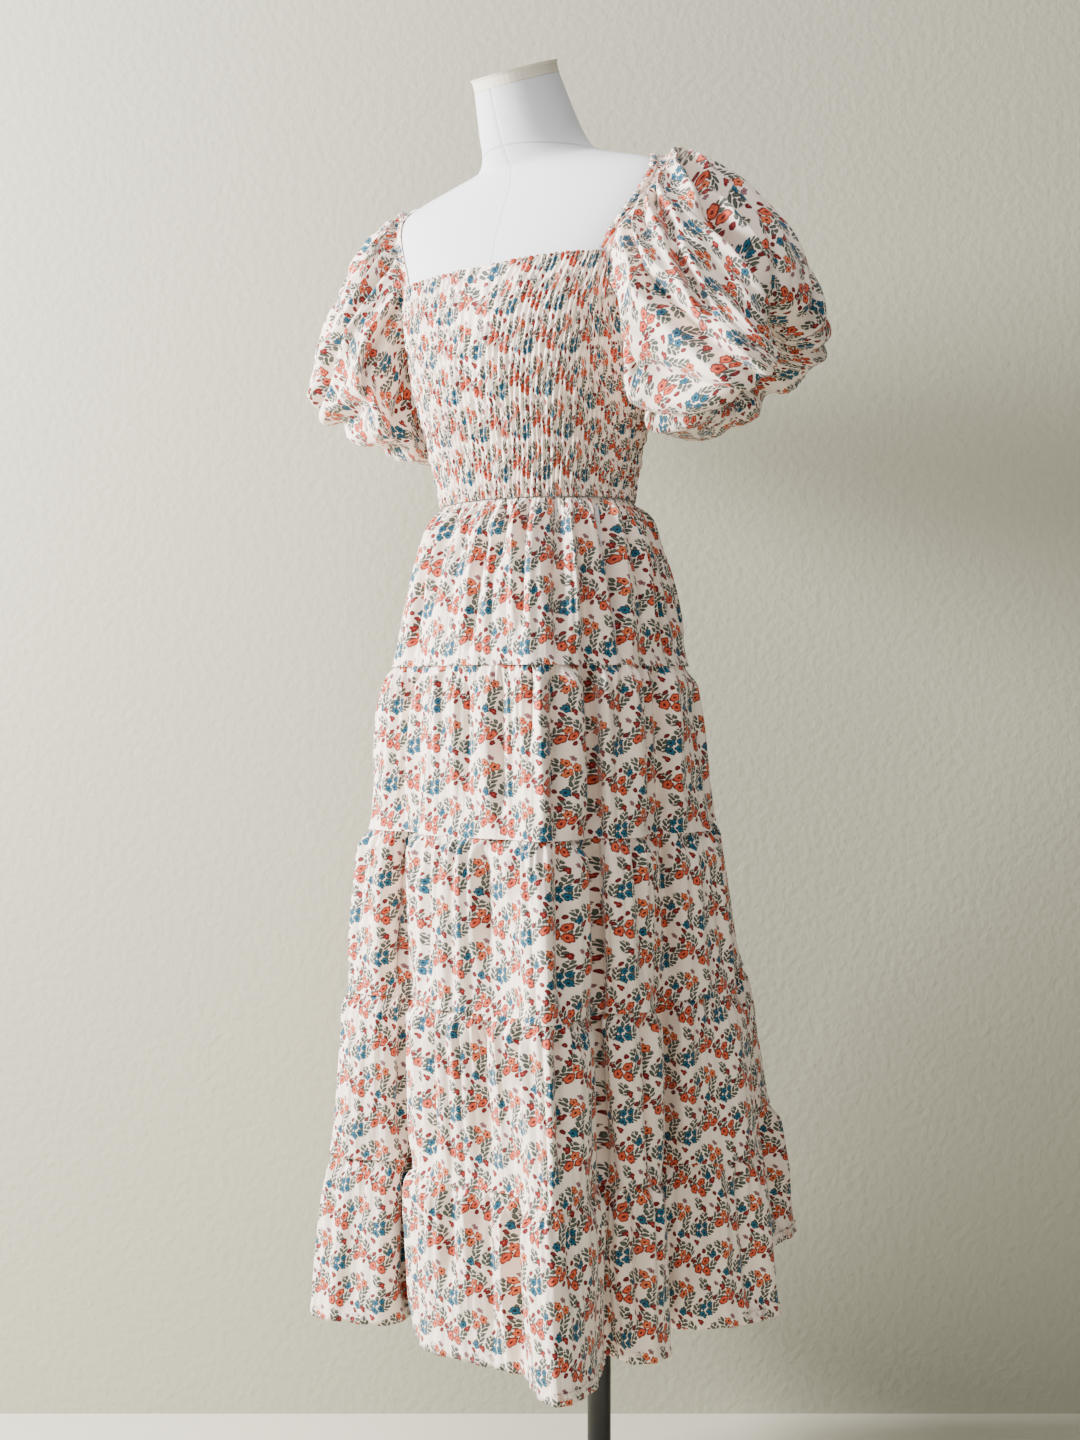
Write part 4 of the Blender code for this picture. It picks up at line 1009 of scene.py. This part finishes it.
def foldedSleeve(droop):
    rows, degrees = sleeveSurface(droop)
    normals = surfaceNormals(rows)
    last = len(rows) - 1
    folded = []
    for r, (row, ways) in enumerate(zip(rows, normals)):
        share = r / last
        start = smoothStep(0.0, 0.16, share)
        end = 1.0 - smoothStep(0.90, 1.0, share)
        near = math.exp(-share / 0.14) + 0.9 * math.exp(-(1.0 - share) / 0.16)
        points = []
        for k, (point, way) in enumerate(zip(row, ways)):
            turn = degrees[k]
            across = turn / 360.0 * sleeve["puckers"]
            sway = 0.9 * noise.noise(Vector((across * 0.35, share * 5.0, 2.2)))
            gather = creased(noise.noise(Vector(((across + sway) * 1.7, share * 1.6, 4.4))))
            tiny = creased(noise.noise(Vector(((across + sway) * 3.6, share * 3.0, 8.1))))
            blob = noise.noise(Vector((across * 0.42, share * 5.5, 6.6)))
            size = gather * (0.0009 + 0.0042 * near * start) * end + tiny * (0.0002 + 0.0012 * near) * end
            size += blob * 0.0035 * start * end - sleeveDepth(turn, share) * start * end
            points.append(point + way * size)
        folded.append(points)
    return folded, degrees


def mirrored(rows):
    return [[Vector((-p.x, p.y, p.z)) for p in row] for row in rows]


def outward(rows, side):
    # a left piece's rows run the other way round, so that its faces look out
    return rows[::-1] if side > 0 else mirrored(rows)


def makeSleeves():
    for name, node, side, droop in (("sleeveLeft", "sleeve_left", 1, 1.0), ("sleeveRight", "sleeve_right", -1, 0.25)):
        rows, degrees = foldedSleeve(droop)
        width = sleeve["cutWidth"]
        across = [width * k / len(degrees) for k in range(len(degrees) + 1)]
        along = [0.0]
        for lower, upper in zip(rows, rows[1:]):
            along.append(along[-1] + sum((b - a).length for a, b in zip(lower, upper)) / len(lower))
        if side > 0:
            along.reverse()
        piece = clothMesh(name, outward(rows, side), True, across, along, cottonMaterial)
        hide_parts(node)


makeSleeves()
print("stage: sleeves")


# Elastic casings at the neck and cuffs
casing = {
    "width": 0.0095, "clearance": 0.0008, "rise": 0.0022, "rib": 0.0019, "puckers": 58, "perPucker": 6, "rows": 8,
    "neckCut": (0.52, 0.021), "cuffWidth": 0.010, "cuffPuckers": 40, "cuffCut": (0.62, 0.012),
}


def puckered(across, along, seed):
    wander = 0.5 * noise.noise(Vector((across * 0.5, along * 2.0, seed)))
    return abs(math.sin(math.pi * (across + wander))) ** 0.6 * (0.75 + 0.5 * noise.noise(Vector((across * 0.8, along, seed + 3.0))))


def makeNeckCasing(name, node, side):
    columns = casing["puckers"] * casing["perPucker"]
    edge = edgePoints(shoulderEdge, columns + 1, Vector((1, 0, 0)), Vector(), columns)
    rows = []
    for r in range(casing["rows"] + 1):
        part = r / casing["rows"]
        row = []
        for k, (place, normal, away) in enumerate(edge):
            rib = puckered(k / casing["perPucker"], part * 0.6, 2.5)
            ruffle = 0.0016 * noise.noise(Vector((k * 0.16, part, 7.7))) * part
            round1 = max(math.sin(math.pi * min(0.06 + part, 1.0)), 0.0) ** 0.5
            lift = casing["clearance"] + (casing["rise"] + casing["rib"] * rib) * round1
            row.append(place + away * (0.0006 - (casing["width"] + ruffle) * part) + normal * lift)
        rows.append(row)
    rows = rows if side > 0 else mirrored(rows)[::-1]
    width, height = casing["neckCut"]
    across = [width * k / columns for k in range(columns + 1)]
    along = [height * r / casing["rows"] for r in range(casing["rows"] + 1)]
    band = clothMesh(name, rows, False, across, along, cottonMaterial)
    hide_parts(node)


def makeCuff(name, node, side):
    section = sleeveRows[-1]
    lean = math.radians(section[3])
    out = Vector((math.cos(lean), 0.0, -math.sin(lean)))
    columns = casing["cuffPuckers"] * casing["perPucker"]
    loop = [balloonPoint(section, 2 * math.pi * k / columns) for k in range(columns)]
    middle = sum(loop, Vector()) / columns
    rows = []
    for r in range(casing["rows"] + 1):
        part = r / casing["rows"]
        row = []
        for k, point in enumerate(loop):
            spoke = (point - middle).normalized()
            rib = puckered(k / casing["perPucker"], part, 6.1)
            row.append(point - out * (0.0012 + casing["cuffWidth"] * part) + spoke * (casing["rib"] * rib - 0.0006))
        rows.append(row)
    width, height = casing["cuffCut"]
    across = [width * k / columns for k in range(columns + 1)]
    along = [height * r / casing["rows"] for r in range(casing["rows"] + 1)]
    band = clothMesh(name, outward(rows, side), True, across, along, cottonMaterial)
    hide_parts(node)


for sideName, side in (("Left", 1), ("Right", -1)):
    makeNeckCasing("neckCasing" + sideName, "neck_casing_" + sideName.lower(), side)
    makeCuff("cuff" + sideName, "cuff_" + sideName.lower(), side)
print("stage: casings and cuffs")
